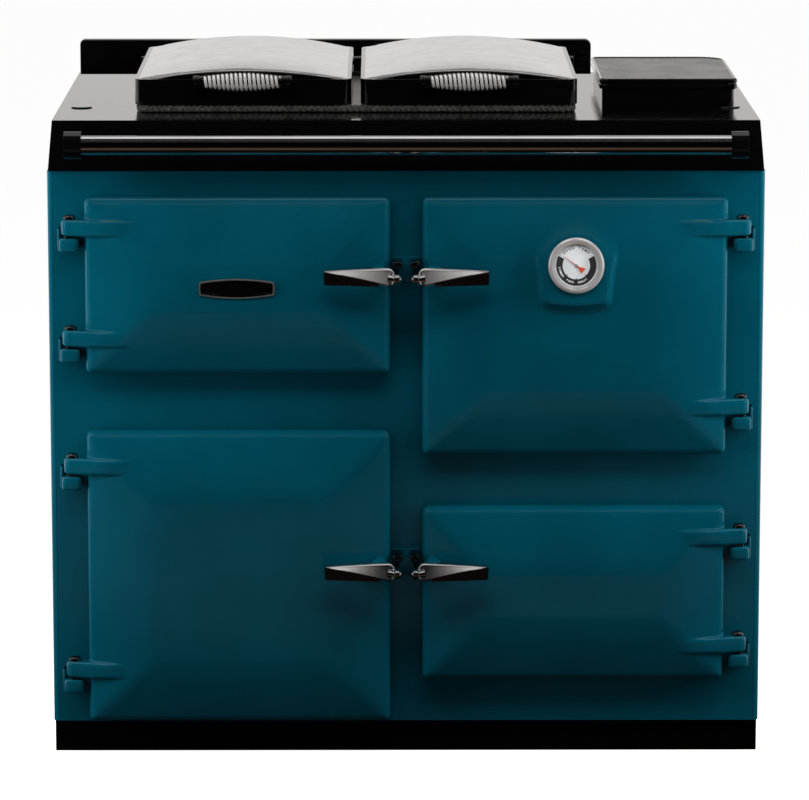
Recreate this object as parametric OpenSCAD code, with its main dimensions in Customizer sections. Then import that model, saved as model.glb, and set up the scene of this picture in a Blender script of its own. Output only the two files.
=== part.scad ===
// Cast iron range cooker: two ovens, firebox, burner space and one long hotplate.
// Millimetres, +Z up, front faces -Y, origin on the floor at the middle of the box.

/* [Overall] */
// Width across the side panels
body_w = 1000; // [940:10:1200]
// Depth from the front plate to the back panel
body_d = 608; // [590:2:730]
// Height of the hob surface above the floor
hob_h = 905; // [880:1:1090]
// Height of the recessed plinth
plinth_h = 48; // [40:1:60]
// How far the plinth is set back from the front plate
plinth_setback = 16; // [8:1:30]
// Height of the top plate's front edge
fascia_h = 70; // [56:1:84]
// How far the flue and water stubs stand out behind the back panel
stub_out = 24; // [20:1:60]

/* [Panels] */
// Thickness of the cast front plate
plate_t = 8; // [8:0.5:12]
// Thickness of the side panels
side_t = 4; // [3:0.5:6]
// Radius of the body's front corners
corner_r = 8; // [6:1:12]
// Thickness of the back panel
back_t = 4; // [2:0.5:6]
// Thickness of the cast top plate
top_t = 12; // [8:1:16]
// Height of the upstand above the hob surface
upstand_h = 52; // [30:1:80]
// Thickness of the upstand
upstand_t = 25; // [20:1:34]
// Right-hand end of the upstand
upstand_right = 282; // [200:1:300]
// Left-hand end of the upstand, in from the body's side
upstand_inset = 11; // [6:1:40]

/* [Doors] */
// Gap between the left and right doors
door_gap = 45; // [40:1:60]
// From a door's outer edge to the body's side
door_side = 52.5; // [48:0.5:60]
// From the top doors to the top plate
door_drop = 33.7; // [26:0.1:44]
// Height of the firebox door
firebox_door_h = 248.5; // [240:0.5:300]
// Height of the main oven door
main_door_h = 363.6; // [330:0.1:440]
// Height of the burner door
burner_door_h = 417; // [360:1:440]
// Height of the lower oven door
lower_door_h = 248.3; // [240:0.1:300]
// Bottom edge of the burner door above the plinth
burner_door_rise = 6.5; // [4:0.5:20]
// Bottom edge of the lower oven door above the plinth
lower_door_rise = 67; // [50:1:80]
// Air gap behind a closed door
door_air = 5; // [4:0.5:6]
// Front plate to the door's rim
door_rim = 30; // [26:0.5:36]
// Front plate to the door's crown
door_crown = 52; // [44:0.5:56]
// Width of the sloping border round the crown
bevel_w = 85; // [60:1:100]
// Wall of the door casting at its edge
door_wall = 8; // [6:0.5:12]
// From a door's edge to the opening behind it
opening_inset = 42; // [38:1:48]
// How far the insulated plug reaches past the front plate's face
plug_depth = 16; // [10:1:20]

/* [Hinges] */
// Pin centre outboard of the door's edge
pin_side = 20; // [18:0.5:24]
// Pin centre in front of the front plate
pin_out = 22; // [20:0.5:26]
// Radius of a hinge pin
pin_r = 5; // [4:0.25:6]
// Height of a door lug
lug_h = 23; // [18:0.5:28]
// Height of a fixed bracket
bracket_h = 19; // [14:0.5:24]
// Radius of the lug and bracket bosses
boss_r = 12; // [10:0.5:14]
// Radial clearance of the running fits
fit = 0.05; // [0.02:0.01:0.1]

/* [Handles] */
// Height of the upper pair of levers
upper_latch_z = 697; // [690:1:720]
// Height of the lower pair of levers
lower_latch_z = 281; // [260:1:300]
// Lever pivot in from the door's free edge
latch_inset = 15.5; // [14:0.5:20]
// Front plate to the front of the levers
handle_reach = 92; // [88:1:100]
// Pivot to lever tip
lever_l = 77; // [60:1:90]
// Height of the lever at its tip
lever_tip_h = 22; // [16:1:26]
// Radius of the lever's spindle
spindle_r = 6; // [5:0.25:7]
// Pivot to the centre of the catch tongue
tongue_l = 25; // [23:0.5:28]

/* [Handrail] */
// Radius of the rail
rail_r = 13.5; // [10:0.5:16]
// Rail centre in front of the front plate
rail_out = 60; // [50:1:70]
// Rail centre below the hob surface
rail_drop = 27; // [24:1:32]
// Outer face of a rail bracket, in from the body's side
rail_inset = 29; // [20:1:60]
// Width of a rail bracket
rail_bracket_w = 24; // [18:1:30]

/* [Thermometer] */
// Height of the thermometer
gauge_z = 710; // [700:1:740]
// Outer radius of its bezel
gauge_r = 39; // [32:0.5:44]
// Radius of the visible dial
dial_r = 30; // [24:0.5:34]
// Backward tilt of the dial
gauge_tilt = 8; // [0:1:12]
// Front plate to the dial's seat
gauge_out = 58; // [56:1:64]

/* [Lids and hotplate] */
// Width of one lid
lid_w = 305; // [280:1:330]
// Depth of one lid
lid_d = 445; // [420:1:460]
// Gap between the lids
lid_gap = 13; // [12.6:0.1:24]
// Middle of the pair of lids
hob_mid_x = -70; // [-76:1:-60]
// Front plate to the front of the lids
lid_front = 90; // [84:1:110]
// Height of the cast lid frame
lid_frame_h = 36; // [30:1:44]
// Rise of the polished dome above its frame
dome_rise = 17; // [10:0.5:22]
// Border of the frame round the dome
dome_border = 13; // [10:0.5:20]
// Thickness of the dome's steel
dome_t = 3; // [2:0.5:4]
// Lid hinge axis behind the lid
lid_pivot_back = 28; // [26:0.5:36]
// Lid hinge axis above the hob surface
lid_pivot_rise = 20; // [18:0.5:24]
// Thickness of the rope seal round the hotplate
rope_d = 10.6; // [8:0.2:14]

/* [Lid grips] */
// Coiled grip's wire thickness
wire_d = 4.4; // [3:0.2:4.8]
// Turns of one coiled grip
coil_turns = 15; // [10:1:17]
// Rise of each turn
coil_pitch = 5.7; // [5.6:0.1:6.4]
// Outer diameter at the middle of a grip
coil_mid_d = 26; // [22:0.5:28]
// Outer diameter at the ends of a grip
coil_end_d = 17; // [16.8:0.1:20]
// Grip axis in front of the lid
grip_out = 25; // [22:0.5:34]
// Grip bracket centre from the lid's middle
grip_half = 65; // [62:0.5:80]
// Thickness of a grip bracket
grip_bracket_t = 8; // [6:0.5:10]

/* [Control box] */
// Left-hand side of the control box
control_left = 281; // [275:1:300]
// Width of the control box
control_w = 189; // [170:1:190]
// Front plate to the front of the control box
control_front = 190; // [150:1:210]
// Depth of the control box
control_d = 290; // [250:1:300]
// Height of its body above the hob surface
control_h = 22; // [18:1:30]
// Thickness of the hinged cover
cover_t = 15; // [12:0.5:20]
// Overhang of the cover
cover_over = 4; // [2:0.5:6]
// Depth of the well below the hob surface
well_depth = 37; // [30:1:50]
// Radius of a control knob
knob_r = 22; // [16:0.5:24]

/* [Ovens and firebox] */
// Wall of the oven castings
oven_wall = 6; // [4:0.5:10]
// Depth of the oven castings behind the front plate
oven_d = 432; // [400:1:450]
// Wall of the firebox's water jacket
jacket_t = 14; // [10:0.5:20]
// Depth of the firebox behind the front plate
firebox_d = 462; // [400:1:470]
// Bore radius of the flue socket
flue_bore_r = 63; // [50:1:64]
// Wall of the flue socket
flue_wall = 3; // [2:0.5:4]
// Outer radius of the water sockets
water_r = 20; // [18:0.5:22]
// Bore radius of the water sockets' thread
water_thread_r = 15.15; // [11:0.05:17]

/* [Hidden] */
$fn = 48;
hull_fn = 32;
seat = 0.3;

// Colours, as the enamel and the metals look
TEAL = [0.02, 0.25, 0.31];
BLACK = [0.06, 0.06, 0.07];
IRON = [0.25, 0.25, 0.26];
STEEL = [0.75, 0.75, 0.74];
WOOL = [0.78, 0.74, 0.62];

// The box from lever tips to stubs is centred on y = 0
front = (handle_reach - body_d - stub_out) / 2;
rear = front + body_d;
half_w = body_w / 2;
body_top = hob_h - fascia_h;
flat_half = half_w - corner_r;

// Doors as [side, bottom, height, lower lug, upper lug, lever height]
LEFT = -1;
RIGHT = 1;
SIDE = 0;
Z0 = 1;
H = 2;
LUG_LOW = 3;
LUG_HIGH = 4;
LATCH = 5;
door_w = half_w - door_side - door_gap / 2;
door_outer = half_w - door_side;
top_edge = body_top - door_drop;
lug_near = 39;
lug_far = 57;
lug_from_top = 54;
latch_shift = hob_h - 905;
top_latch = upper_latch_z + latch_shift;
firebox_spec = [LEFT, top_edge - firebox_door_h, firebox_door_h, lug_near,
    firebox_door_h - lug_from_top, top_latch];
main_spec = [RIGHT, top_edge - main_door_h, main_door_h, lug_far,
    main_door_h - lug_from_top, top_latch];
burner_spec = [LEFT, plinth_h + burner_door_rise, burner_door_h, lug_far + 7,
    burner_door_h - lug_from_top - 7, lower_latch_z];
lower_spec = [RIGHT, plinth_h + lower_door_rise, lower_door_h, lug_near,
    lower_door_h - lug_from_top, lower_latch_z];
SPECS = [firebox_spec, main_spec, burner_spec, lower_spec];
door_corner_r = 9;
opening_r = 14;
plug_clear = 5;
pocket_depth = 19;
seal_inset = 27;
seal_w = 9;
seal_half = door_air - seat;

// Hinges and catches
collar_t = 3;
pin_head_r = 8.5;
pin_head_h = 6;
ear_t = 4.5;
bracket_w = 26;
lug_reach = 60;
handle_boss_r = 12;
lever_hub_r = 13;
lever_t = 20;
tongue_w = 8;
tongue_end = 14;
catch_w = 40;
catch_h = 36;
catch_t = 4;
tab_rise = 9;
tab_t = 5;
tab_reach = 44;

// Top plate
draft = 6;
fascia_out = 5;
fascia_in = 3;
fascia_wall = 12;
plug_hole_r = 8;
plug_x = half_w - 40;
plug_y = front + 155;

// Lids and hotplate
lid_y0 = front + lid_front;
lid_y1 = lid_y0 + lid_d;
lid_z0 = hob_h + rope_d + 2 * seat;
lid_z1 = lid_z0 + lid_frame_h;
lid_corner_r = 18;
lid_wall = 12;
lid_inner_r = lid_corner_r - lid_wall + 4;
liner_lift = 2;
lid_left_x = hob_mid_x - lid_gap / 2 - lid_w / 2;
lid_right_x = hob_mid_x + lid_gap / 2 + lid_w / 2;
hob_x0 = lid_left_x - lid_w / 2;
hob_x1 = lid_right_x + lid_w / 2;
rope_inset = 1;
hotplate_inset = rope_inset + rope_d + 2;
hotplate_step = 7;
hotplate_rise = 4;
hotplate_depth = 33;
lid_pivot_y = lid_y1 + lid_pivot_back;
lid_pivot_z = hob_h + lid_pivot_rise;
lid_pin_r = 4;
lid_boss_r = 10;
lid_arm_w = 14;
lid_arm_inset = 4;
pedestal_w = 12;
grip_z = lid_z1 - 1;
grip_boss_r = 9;
ferrule_r = 8.5;
rod_r = 3.4;
dome_half = lid_w / 2 - dome_border;
dome_r = (dome_half * dome_half + dome_rise * dome_rise) / (2 * dome_rise);

// Coiled grip: a barrel-shaped helix with straight ends
coil_sides = 6;
rings_per_turn = 8;
coil_steps = coil_turns * rings_per_turn;
coil_half = coil_turns * coil_pitch / 2;
wire_r = wire_d / 2;
coil_end_x = coil_half + wire_d;
coil_mid_r = (coil_mid_d - wire_d) / 2;
coil_end_r = (coil_end_d - wire_d) / 2;

// Control box
control_y0 = front + control_front;
control_y1 = control_y0 + control_d;
control_z1 = hob_h + control_h;
well_wall = 15;
well_t = 5;
well_floor = hob_h - well_depth;
cover_pivot_y = control_y1 + 11;
cover_pivot_z = control_z1 + 3;
cover_pin_r = 3;
cover_knuckle_r = 6;
knob_h = 20;
knob_stem_r = 4;
knob_x = control_left + control_w / 2;
knob_gap = 70;
knob_front_y = control_y0 + 75;
knob_rear_y = knob_front_y + knob_gap;
switch_y = knob_rear_y + 68;
switch_l = 26;
switch_w = 18;
switch_pin_r = 1.5;
switch_pivot_z = well_floor + well_t + 5;

// Inside the body
deck_t = 3;
frame_bar = 40;
frame_z0 = 20;
frame_half = half_w - 13.3;
wall_gap = 0.3;
inside_y = front + plate_t;
leg_t = 8;
rib = 6;
shelf_t = 4;
shelf_bar = 4;
duct_z1 = hob_h - hotplate_depth - seat;
duct_z0 = body_top - 28;
duct_t = 5;
duct_x0 = hob_x0 + hotplate_inset + hotplate_step;
duct_x1 = hob_x1 - hotplate_inset - hotplate_step;
duct_y1 = rear - 48;
flue_r = flue_bore_r + flue_wall;
flue_x = hob_mid_x + 225;
flue_box_half = flue_r + 6;
flue_z = duct_z0 - flue_box_half;
flue_box_y0 = rear - 88;
flue_box_y1 = rear - 33;
flue_flange_t = 5;
throat_x0 = hob_x0 + 36;
throat_w = 180;
throat_half_d = 78;
firebox_z1 = duct_z0;
crown_z0 = firebox_spec[Z0] + firebox_spec[H] - opening_inset;
firebox_z0 = firebox_spec[Z0] + 4;
water_low = firebox_z0 + 50;
water_high = firebox_z0 + 185;
water_x0 = -half_w + 120;
water_x1 = -half_w + 200;
water_thread_l = 20;
inlet_z = plinth_h + 80;
cable_x = -half_w + 110;
cable_r = 10;
fuel_x = -half_w + 170;
fuel_r = 5;
blast_r = 45;
burner_x = -(door_outer + door_gap / 2) / 2;
burner_y = inside_y + 190;
foot_r = 22;
foot_stud_r = 6;
foot_x = half_w - 40;
foot_y0 = front + 60;
foot_y1 = rear - 30;

// ---- Shared shapes ----

module slab(x0, x1, y0, y1, z0, z1) {
    translate([x0, y0, z0])
        cube([x1 - x0, y1 - y0, z1 - z0]);
}

// Rounded rectangle from the origin
module outline(w, h, r) {
    translate([r, 0])
        square([w - 2 * r, h]);
    translate([0, r])
        square([w, h - 2 * r]);
    for (x = [r, w - r])
        for (y = [r, h - r])
            translate([x, y])
                circle(r = r);
}

// Rounded upright plate: outline in XZ, from y0 back to y1
module upright(w, h, r, y0, y1) {
    translate([0, y1, 0])
        rotate([90, 0, 0])
            linear_extrude(height = y1 - y0)
                outline(w, h, r);
}

// Rounded lying plate from z0 up to z1
module lying(x0, x1, y0, y1, r, z0, z1) {
    translate([x0, y0, z0])
        linear_extrude(height = z1 - z0)
            outline(x1 - x0, y1 - y0, r);
}

// Cylinders along Y and X
module rod_y(x, z, r, y0, y1) {
    translate([x, y1, z])
        rotate([90, 0, 0])
            cylinder(r = r, h = y1 - y0);
}

module rod_x(y, z, r, x0, x1) {
    translate([x0, y, z])
        rotate([0, 90, 0])
            cylinder(r = r, h = x1 - x0);
}

// A door's own frame: hinge edge at x = 0, bottom at z = 0, front plate's face at y = 0
module on_door(d) {
    mirror([d[SIDE] == RIGHT ? 1 : 0, 0, 0])
        translate([-door_outer, front, d[Z0]])
            children();
}

module on_latch(d) {
    on_door(d)
        translate([door_w - latch_inset, 0, d[LATCH] - d[Z0]])
            children();
}

// The thermometer's frame: +Z out of the dial, +Y up the dial
module on_gauge() {
    translate([door_gap / 2 + door_w / 2, front - gauge_out, gauge_z + latch_shift])
        rotate([90 - gauge_tilt, 0, 0])
            children();
}

// ---- Body ----

module plinth() {
    color(BLACK)
        difference() {
            slab(-half_w + 1, half_w - 1, front + plinth_setback, rear, 0, plinth_h);
            slab(-half_w + 13, half_w - 13, front + plinth_setback + 12, rear + 1, -1, plinth_h + 1);
        }
}

module base_frame() {
    y0 = front + plinth_setback + 12 + wall_gap;
    color(BLACK)
        difference() {
            slab(-frame_half, frame_half, y0, rear, frame_z0, plinth_h);
            for (x = [-frame_half + frame_bar, frame_bar / 2])
                slab(x, x + frame_half - 1.5 * frame_bar, y0 + frame_bar, rear - frame_bar,
                    frame_z0 - 1, plinth_h - deck_t);
            foot_places()
                translate([0, 0, frame_z0 - 1])
                    cylinder(r = foot_stud_r + fit, h = plinth_h - deck_t - frame_z0 + 1);
        }
}

module foot_places() {
    for (x = [-foot_x, foot_x])
        for (y = [foot_y0, foot_y1])
            translate([x, y, 0])
                children();
}

module levelling_feet() {
    color(STEEL)
        foot_places() {
            cylinder(r = foot_r, h = 6);
            cylinder(r = foot_stud_r, h = plinth_h - deck_t - seat);
        }
}

module front_plate() {
    color(TEAL)
        difference() {
            slab(-flat_half, flat_half, front, inside_y, plinth_h, body_top);
            for (d = SPECS)
                on_door(d) {
                    translate([opening_inset, 0, opening_inset])
                        upright(door_w - 2 * opening_inset, d[H] - 2 * opening_inset, opening_r,
                            -1, plate_t + 1);
                    seal_groove(d, seal_w + 2 * seat, door_air);
                }
        }
}

// Ring-shaped groove, or the rope that lies in it
module seal_ring_2d(d, w) {
    half = w / 2;
    difference() {
        translate([seal_inset - half, seal_inset - half])
            outline(door_w - 2 * (seal_inset - half), d[H] - 2 * (seal_inset - half), 20 + half);
        translate([seal_inset + half, seal_inset + half])
            outline(door_w - 2 * (seal_inset + half), d[H] - 2 * (seal_inset + half), 20 - half);
    }
}

module seal_groove(d, w, depth) {
    translate([0, depth, 0])
        rotate([90, 0, 0])
            linear_extrude(height = depth + 1)
                seal_ring_2d(d, w);
}

module rope_seals() {
    color(WOOL) {
        for (d = SPECS)
            on_door(d)
                translate([0, seal_half, 0])
                    rotate([90, 0, 0])
                        linear_extrude(height = 2 * seal_half)
                            seal_ring_2d(d, seal_w);
        difference() {
            lying(hob_x0 + rope_inset, hob_x1 - rope_inset, lid_y0 + rope_inset,
                lid_y1 - rope_inset, lid_corner_r, hob_h + seat, hob_h + seat + rope_d);
            lying(hob_x0 + rope_inset + rope_d, hob_x1 - rope_inset - rope_d,
                lid_y0 + rope_inset + rope_d, lid_y1 - rope_inset - rope_d,
                lid_corner_r - rope_d / 2, hob_h, hob_h + 2 * rope_d);
        }
    }
}

// Two side panels, each with its rounded front edge
module side_panels() {
    color(TEAL)
        for (s = [LEFT, RIGHT])
            mirror([s == LEFT ? 1 : 0, 0, 0])
                translate([0, 0, plinth_h])
                    linear_extrude(height = body_top - plinth_h)
                        side_outline();
}

module side_outline() {
    intersection() {
        translate([flat_half, front + corner_r])
            circle(r = corner_r);
        translate([flat_half, front])
            square([corner_r, corner_r]);
    }
    translate([flat_half, front + corner_r])
        square([corner_r, side_t]);
    translate([half_w - side_t, front + corner_r])
        square([side_t, body_d - corner_r]);
}

module back_panel() {
    edge = half_w - side_t - wall_gap;
    color(BLACK)
        difference() {
            slab(-edge, edge, rear - back_t, rear, plinth_h, body_top);
            rod_y(flue_x, flue_z, flue_r + 0.5, rear - back_t - 1, rear + 1);
            water_places(water_r + 0.5, rear - back_t - 1, rear + 1);
            rod_y(cable_x, inlet_z, cable_r + 0.2, rear - back_t - 1, rear + 1);
            rod_y(fuel_x, inlet_z, fuel_r + 0.2, rear - back_t - 1, rear + 1);
        }
}

// Drafted block of the top plate, exact on all four sides
module top_block() {
    intersection() {
        translate([-half_w, 0, 0])
            rotate([90, 0, 90])
                linear_extrude(height = body_w)
                    fascia_profile();
        translate([0, rear, 0])
            rotate([90, 0, 0])
                linear_extrude(height = body_d + fascia_out)
                    polygon([
                        [-half_w + 2, body_top], [half_w - 2, body_top],
                        [half_w - 2 - draft, hob_h], [-half_w + 2 + draft, hob_h]
                    ]);
    }
}

module fascia_profile() {
    polygon([
        [front - fascia_out, body_top], [rear, body_top],
        [rear, hob_h], [front + fascia_in, hob_h]
    ]);
}

module top_plate() {
    inner = half_w - 2 - draft - fascia_wall;
    color(BLACK)
        difference() {
            top_block();
            slab(-inner, inner, front + fascia_wall, rear - fascia_wall, body_top - 1, hob_h - top_t);
            hotplate_block(hotplate_inset + hotplate_step - 1, hob_h - top_t - 1, hob_h + 1);
            well_block(0.5, hob_h - top_t - 1, hob_h + 1);
            for (x = [-plug_x, plug_x])
                translate([x, plug_y, hob_h - top_t - 1])
                    cylinder(r = plug_hole_r, h = top_t + 2);
        }
}

module upstand() {
    small_r = 14;
    large_r = 26;
    w = upstand_right + half_w - upstand_inset;
    color(BLACK)
        translate([-half_w + upstand_inset, rear, hob_h])
            rotate([90, 0, 0])
                linear_extrude(height = upstand_t) {
                    square([w, upstand_h - large_r]);
                    translate([small_r, 0])
                        square([w - small_r - large_r, upstand_h]);
                    translate([0, 0])
                        square([2 * small_r, upstand_h - small_r]);
                    translate([small_r, upstand_h - small_r])
                        circle(r = small_r);
                    translate([w - large_r, upstand_h - large_r])
                        circle(r = large_r);
                }
}

module hotplate_block(inset, z0, z1) {
    lying(hob_x0 + inset, hob_x1 - inset, lid_y0 + inset, lid_y1 - inset, 12, z0, z1);
}

module hotplate() {
    color(IRON) {
        hotplate_block(hotplate_inset, hob_h, hob_h + hotplate_rise);
        hotplate_block(hotplate_inset + hotplate_step, hob_h - hotplate_depth, hob_h);
    }
}

module blanking_plugs() {
    cap_r = 15;
    cap_h = 6;
    sphere_r = (cap_r * cap_r + cap_h * cap_h) / (2 * cap_h);
    color(BLACK)
        for (x = [-plug_x, plug_x])
            translate([x, plug_y, hob_h]) {
                intersection() {
                    translate([0, 0, cap_h - sphere_r])
                        sphere(r = sphere_r);
                    cylinder(r = cap_r + 1, h = cap_h + 1);
                }
                translate([0, 0, -top_t])
                    cylinder(r = plug_hole_r - 0.2, h = top_t + 1);
            }
}

// ---- Inside the body ----

// Open-fronted casting behind a door's opening
module open_box(d, wall, depth) {
    w = door_w - 2 * opening_inset;
    h = d[H] - 2 * opening_inset;
    difference() {
        translate([opening_inset - wall, 0, opening_inset - wall])
            slab(0, w + 2 * wall, plate_t, plate_t + depth, 0, h + 2 * wall);
        translate([opening_inset, 0, opening_inset])
            slab(0, w, plate_t - 1, plate_t + depth - wall, 0, h);
    }
}

// Two side plates that carry a casting from z0 up to its underside
module side_legs(d, wall, depth, z0, z1) {
    for (x = [opening_inset - wall, door_w - opening_inset + wall - leg_t])
        slab(x, x + leg_t, plate_t + 40, plate_t + depth - 20, z0 - d[Z0], z1 - d[Z0]);
}

function rib_z(d) = opening_inset + (d[H] - 2 * opening_inset) * 0.4;

module shelf_ribs(d) {
    for (x = [opening_inset - 1, door_w - opening_inset - rib])
        slab(x, x + rib + 1, plate_t + 20, plate_t + oven_d - 2 * oven_wall, rib_z(d) - rib, rib_z(d));
}

module oven_casting(d, z0) {
    color(IRON)
        on_door(d) {
            open_box(d, oven_wall, oven_d);
            side_legs(d, oven_wall, oven_d, z0, d[Z0] + opening_inset - oven_wall);
            shelf_ribs(d);
        }
}

module main_oven() {
    oven_casting(main_spec, lower_spec[Z0] + lower_spec[H] - opening_inset + oven_wall);
}

module lower_oven() {
    oven_casting(lower_spec, plinth_h);
}

// Barred shelf lying on its runners
module oven_shelf(d) {
    w = door_w - 2 * opening_inset - 4;
    depth = oven_d - 4 * oven_wall - plug_depth - 6;
    bays = 12;
    bay = (w - shelf_bar) / bays;
    color(STEEL)
        on_door(d)
            translate([opening_inset + 2, plate_t + plug_depth + 14, rib_z(d)])
                linear_extrude(height = shelf_t)
                    difference() {
                        square([w, depth]);
                        for (i = [0 : bays - 1])
                            translate([shelf_bar + i * bay, shelf_bar])
                                square([bay - shelf_bar, depth - 2 * shelf_bar]);
                    }
}

module oven_shelves() {
    oven_shelf(main_spec);
    oven_shelf(lower_spec);
}

// Way for the hot gas from the firebox up into the duct
module flue_throat(z0, z1) {
    slab(throat_x0, throat_x0 + throat_w, burner_y - throat_half_d, burner_y + throat_half_d, z0, z1);
}

// Block over the firebox's whole plan between two heights
module firebox_block(z0, z1) {
    on_door(firebox_spec)
        slab(opening_inset - jacket_t, door_w - opening_inset + jacket_t, plate_t, plate_t + firebox_d,
            z0 - firebox_spec[Z0], z1 - firebox_spec[Z0]);
}

module firebox() {
    d = firebox_spec;
    color(IRON)
        difference() {
            union() {
                firebox_block(firebox_z0, crown_z0);
                on_door(d)
                    side_legs(d, jacket_t, firebox_d, plinth_h, firebox_z0);
            }
            on_door(d)
                slab(opening_inset, door_w - opening_inset, plate_t - 1,
                    plate_t + firebox_d - jacket_t, opening_inset, d[H] - opening_inset + 1);
            translate([burner_x, burner_y, firebox_z0 - 1])
                cylinder(r = blast_r - 5, h = opening_inset + 2);
        }
}

// Top of the water jacket, with the way up to the duct
module firebox_crown() {
    color(IRON)
        difference() {
            firebox_block(crown_z0, firebox_z1);
            flue_throat(crown_z0 - 1, firebox_z1 + 1);
        }
}

module burner() {
    fan_r = 70;
    fan_w = 90;
    fan_z = plinth_h + 210;
    motor_r = 44;
    unit_w = 60;
    color(IRON) {
        slab(burner_x - fan_w / 2 - unit_w, burner_x - fan_w / 2 + 1, burner_y - 50, burner_y + 50,
            fan_z - 45, fan_z + 45);
        rod_x(burner_y, fan_z, fan_r, burner_x - fan_w / 2, burner_x + fan_w / 2);
        rod_x(burner_y, fan_z, motor_r, burner_x + fan_w / 2 - 1, burner_x + fan_w / 2 + 80);
        translate([burner_x, burner_y, fan_z])
            cylinder(r = blast_r - 6, h = firebox_z0 - fan_z);
        translate([burner_x, burner_y, firebox_z0 - 8])
            cylinder(r = blast_r + 20, h = 8);
    }
}

// Way down from the duct into the flue box
module flue_neck(z0, z1) {
    half = flue_box_half - duct_t;
    slab(flue_x - half, min(flue_x + half, duct_x1 - duct_t), flue_box_y0 + duct_t, duct_y1 - duct_t,
        z0, z1);
}

// Open pan under the hotplate
module flue_duct() {
    y0 = lid_y0 + hotplate_inset + hotplate_step;
    color(IRON)
        difference() {
            slab(duct_x0, duct_x1, y0, duct_y1, duct_z0, duct_z1);
            slab(duct_x0 + duct_t, duct_x1 - duct_t, y0 + duct_t, duct_y1 - duct_t,
                duct_z0 + duct_t, duct_z1 + 1);
            flue_throat(duct_z0 - 1, duct_z0 + duct_t + 1);
            flue_neck(duct_z0 - 1, duct_z0 + duct_t + 1);
        }
}

// Box below the pan's rear edge, open towards the socket's flange
module flue_box() {
    inner = flue_box_half - duct_t;
    color(IRON)
        difference() {
            slab(flue_x - flue_box_half, flue_x + flue_box_half, flue_box_y0, flue_box_y1,
                flue_z - flue_box_half, duct_z0);
            slab(flue_x - inner, flue_x + inner, flue_box_y0 + duct_t, flue_box_y1 + 1,
                flue_z - inner, duct_z0 - duct_t);
            flue_neck(duct_z0 - duct_t - 1, duct_z0 + 1);
        }
}

module flue_socket() {
    color(IRON)
        difference() {
            union() {
                slab(flue_x - flue_box_half, flue_x + flue_box_half, flue_box_y1,
                    flue_box_y1 + flue_flange_t, flue_z - flue_box_half, duct_z0);
                rod_y(flue_x, flue_z, flue_r, flue_box_y1, rear + stub_out);
            }
            rod_y(flue_x, flue_z, flue_bore_r, flue_box_y1 - 1, rear + stub_out + 1);
        }
}

module water_places(r, y0, y1) {
    for (x = [water_x0, water_x1])
        for (z = [water_low, water_high])
            rod_y(x, z, r, y0, y1);
}

module water_connections() {
    color(STEEL)
        difference() {
            water_places(water_r, inside_y + firebox_d, rear + stub_out);
            water_places(water_r - 8, inside_y + firebox_d + 20, rear + stub_out);
            water_places(water_thread_r, rear + stub_out - water_thread_l, rear + stub_out + 1);
        }
}

module service_inlets() {
    color(STEEL)
        difference() {
            union() {
                rod_y(cable_x, inlet_z, cable_r, rear - 14, rear + 1);
                rod_y(cable_x, inlet_z, cable_r + 5, rear, rear + 14);
                rod_y(fuel_x, inlet_z, fuel_r, rear - 60, rear + stub_out);
                rod_y(fuel_x, inlet_z, fuel_r + 9, rear, rear + 4);
            }
            rod_y(cable_x, inlet_z, 5, rear - 15, rear + 15);
            rod_y(fuel_x, inlet_z, fuel_r - 1, rear - 61, rear + stub_out + 1);
        }
}

// Mineral wool at both sides and behind the ovens
module insulation() {
    side_x = half_w - side_t - wall_gap;
    oven_x = door_outer - opening_inset + jacket_t + 4;
    back_y = inside_y + oven_d + wall_gap;
    color(WOOL) {
        for (s = [LEFT, RIGHT])
            mirror([s == LEFT ? 1 : 0, 0, 0])
                slab(oven_x, side_x, inside_y + 10, rear - back_t - 1, plinth_h, body_top - 20);
        slab(door_gap / 2 + 10, oven_x - 10, back_y, flue_box_y0 - 2, plinth_h, flue_z - flue_box_half - 6);
    }
}

// ---- Doors ----

module crowned_panel(d) {
    hull() {
        upright(door_w, d[H], door_corner_r, -door_rim, -door_air, $fn = hull_fn);
        translate([bevel_w, -door_crown, bevel_w])
            cube([door_w - 2 * bevel_w, 1, d[H] - 2 * bevel_w]);
    }
}

// Cast arm from the door's face out to the pin
module hinge_lug(z) {
    translate([0, 0, z]) {
        linear_extrude(height = lug_h)
            polygon([
                [-pin_side, -pin_out - boss_r], [lug_reach / 2, -door_rim - 15],
                [lug_reach, -door_rim - 16], [lug_reach, -door_rim + 2],
                [0, -door_rim + 8], [-pin_side, -pin_out + boss_r]
            ]);
        translate([-pin_side, -pin_out, 0])
            cylinder(r = boss_r, h = lug_h);
    }
}

module pin_bore(z) {
    translate([-pin_side, -pin_out, z - 1])
        cylinder(r = pin_r + fit, h = lug_h + 2);
}

module liner_pocket(d) {
    translate([door_wall, 0, door_wall])
        upright(door_w - 2 * door_wall, d[H] - 2 * door_wall, door_corner_r,
            -door_air - pocket_depth, -door_air + 1);
}

module door_shell(d) {
    color(TEAL)
        difference() {
            union() {
                on_door(d) {
                    crowned_panel(d);
                    hinge_lug(d[LUG_LOW]);
                    hinge_lug(d[LUG_HIGH]);
                }
                on_latch(d)
                    rod_y(0, 0, handle_boss_r, -handle_reach + lever_t + seat, -door_rim + 2);
                if (d == main_spec)
                    on_gauge()
                        translate([0, 0, -22])
                            cylinder(r = gauge_r + 4, h = 22);
            }
            on_door(d) {
                liner_pocket(d);
                pin_bore(d[LUG_LOW]);
                pin_bore(d[LUG_HIGH]);
            }
            on_latch(d)
                rod_y(0, 0, spindle_r + fit, -handle_reach, -door_rim);
            if (d == main_spec)
                on_gauge()
                    translate([0, 0, -60])
                        cylinder(r = 4.3, h = 70);
        }
}

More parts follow.
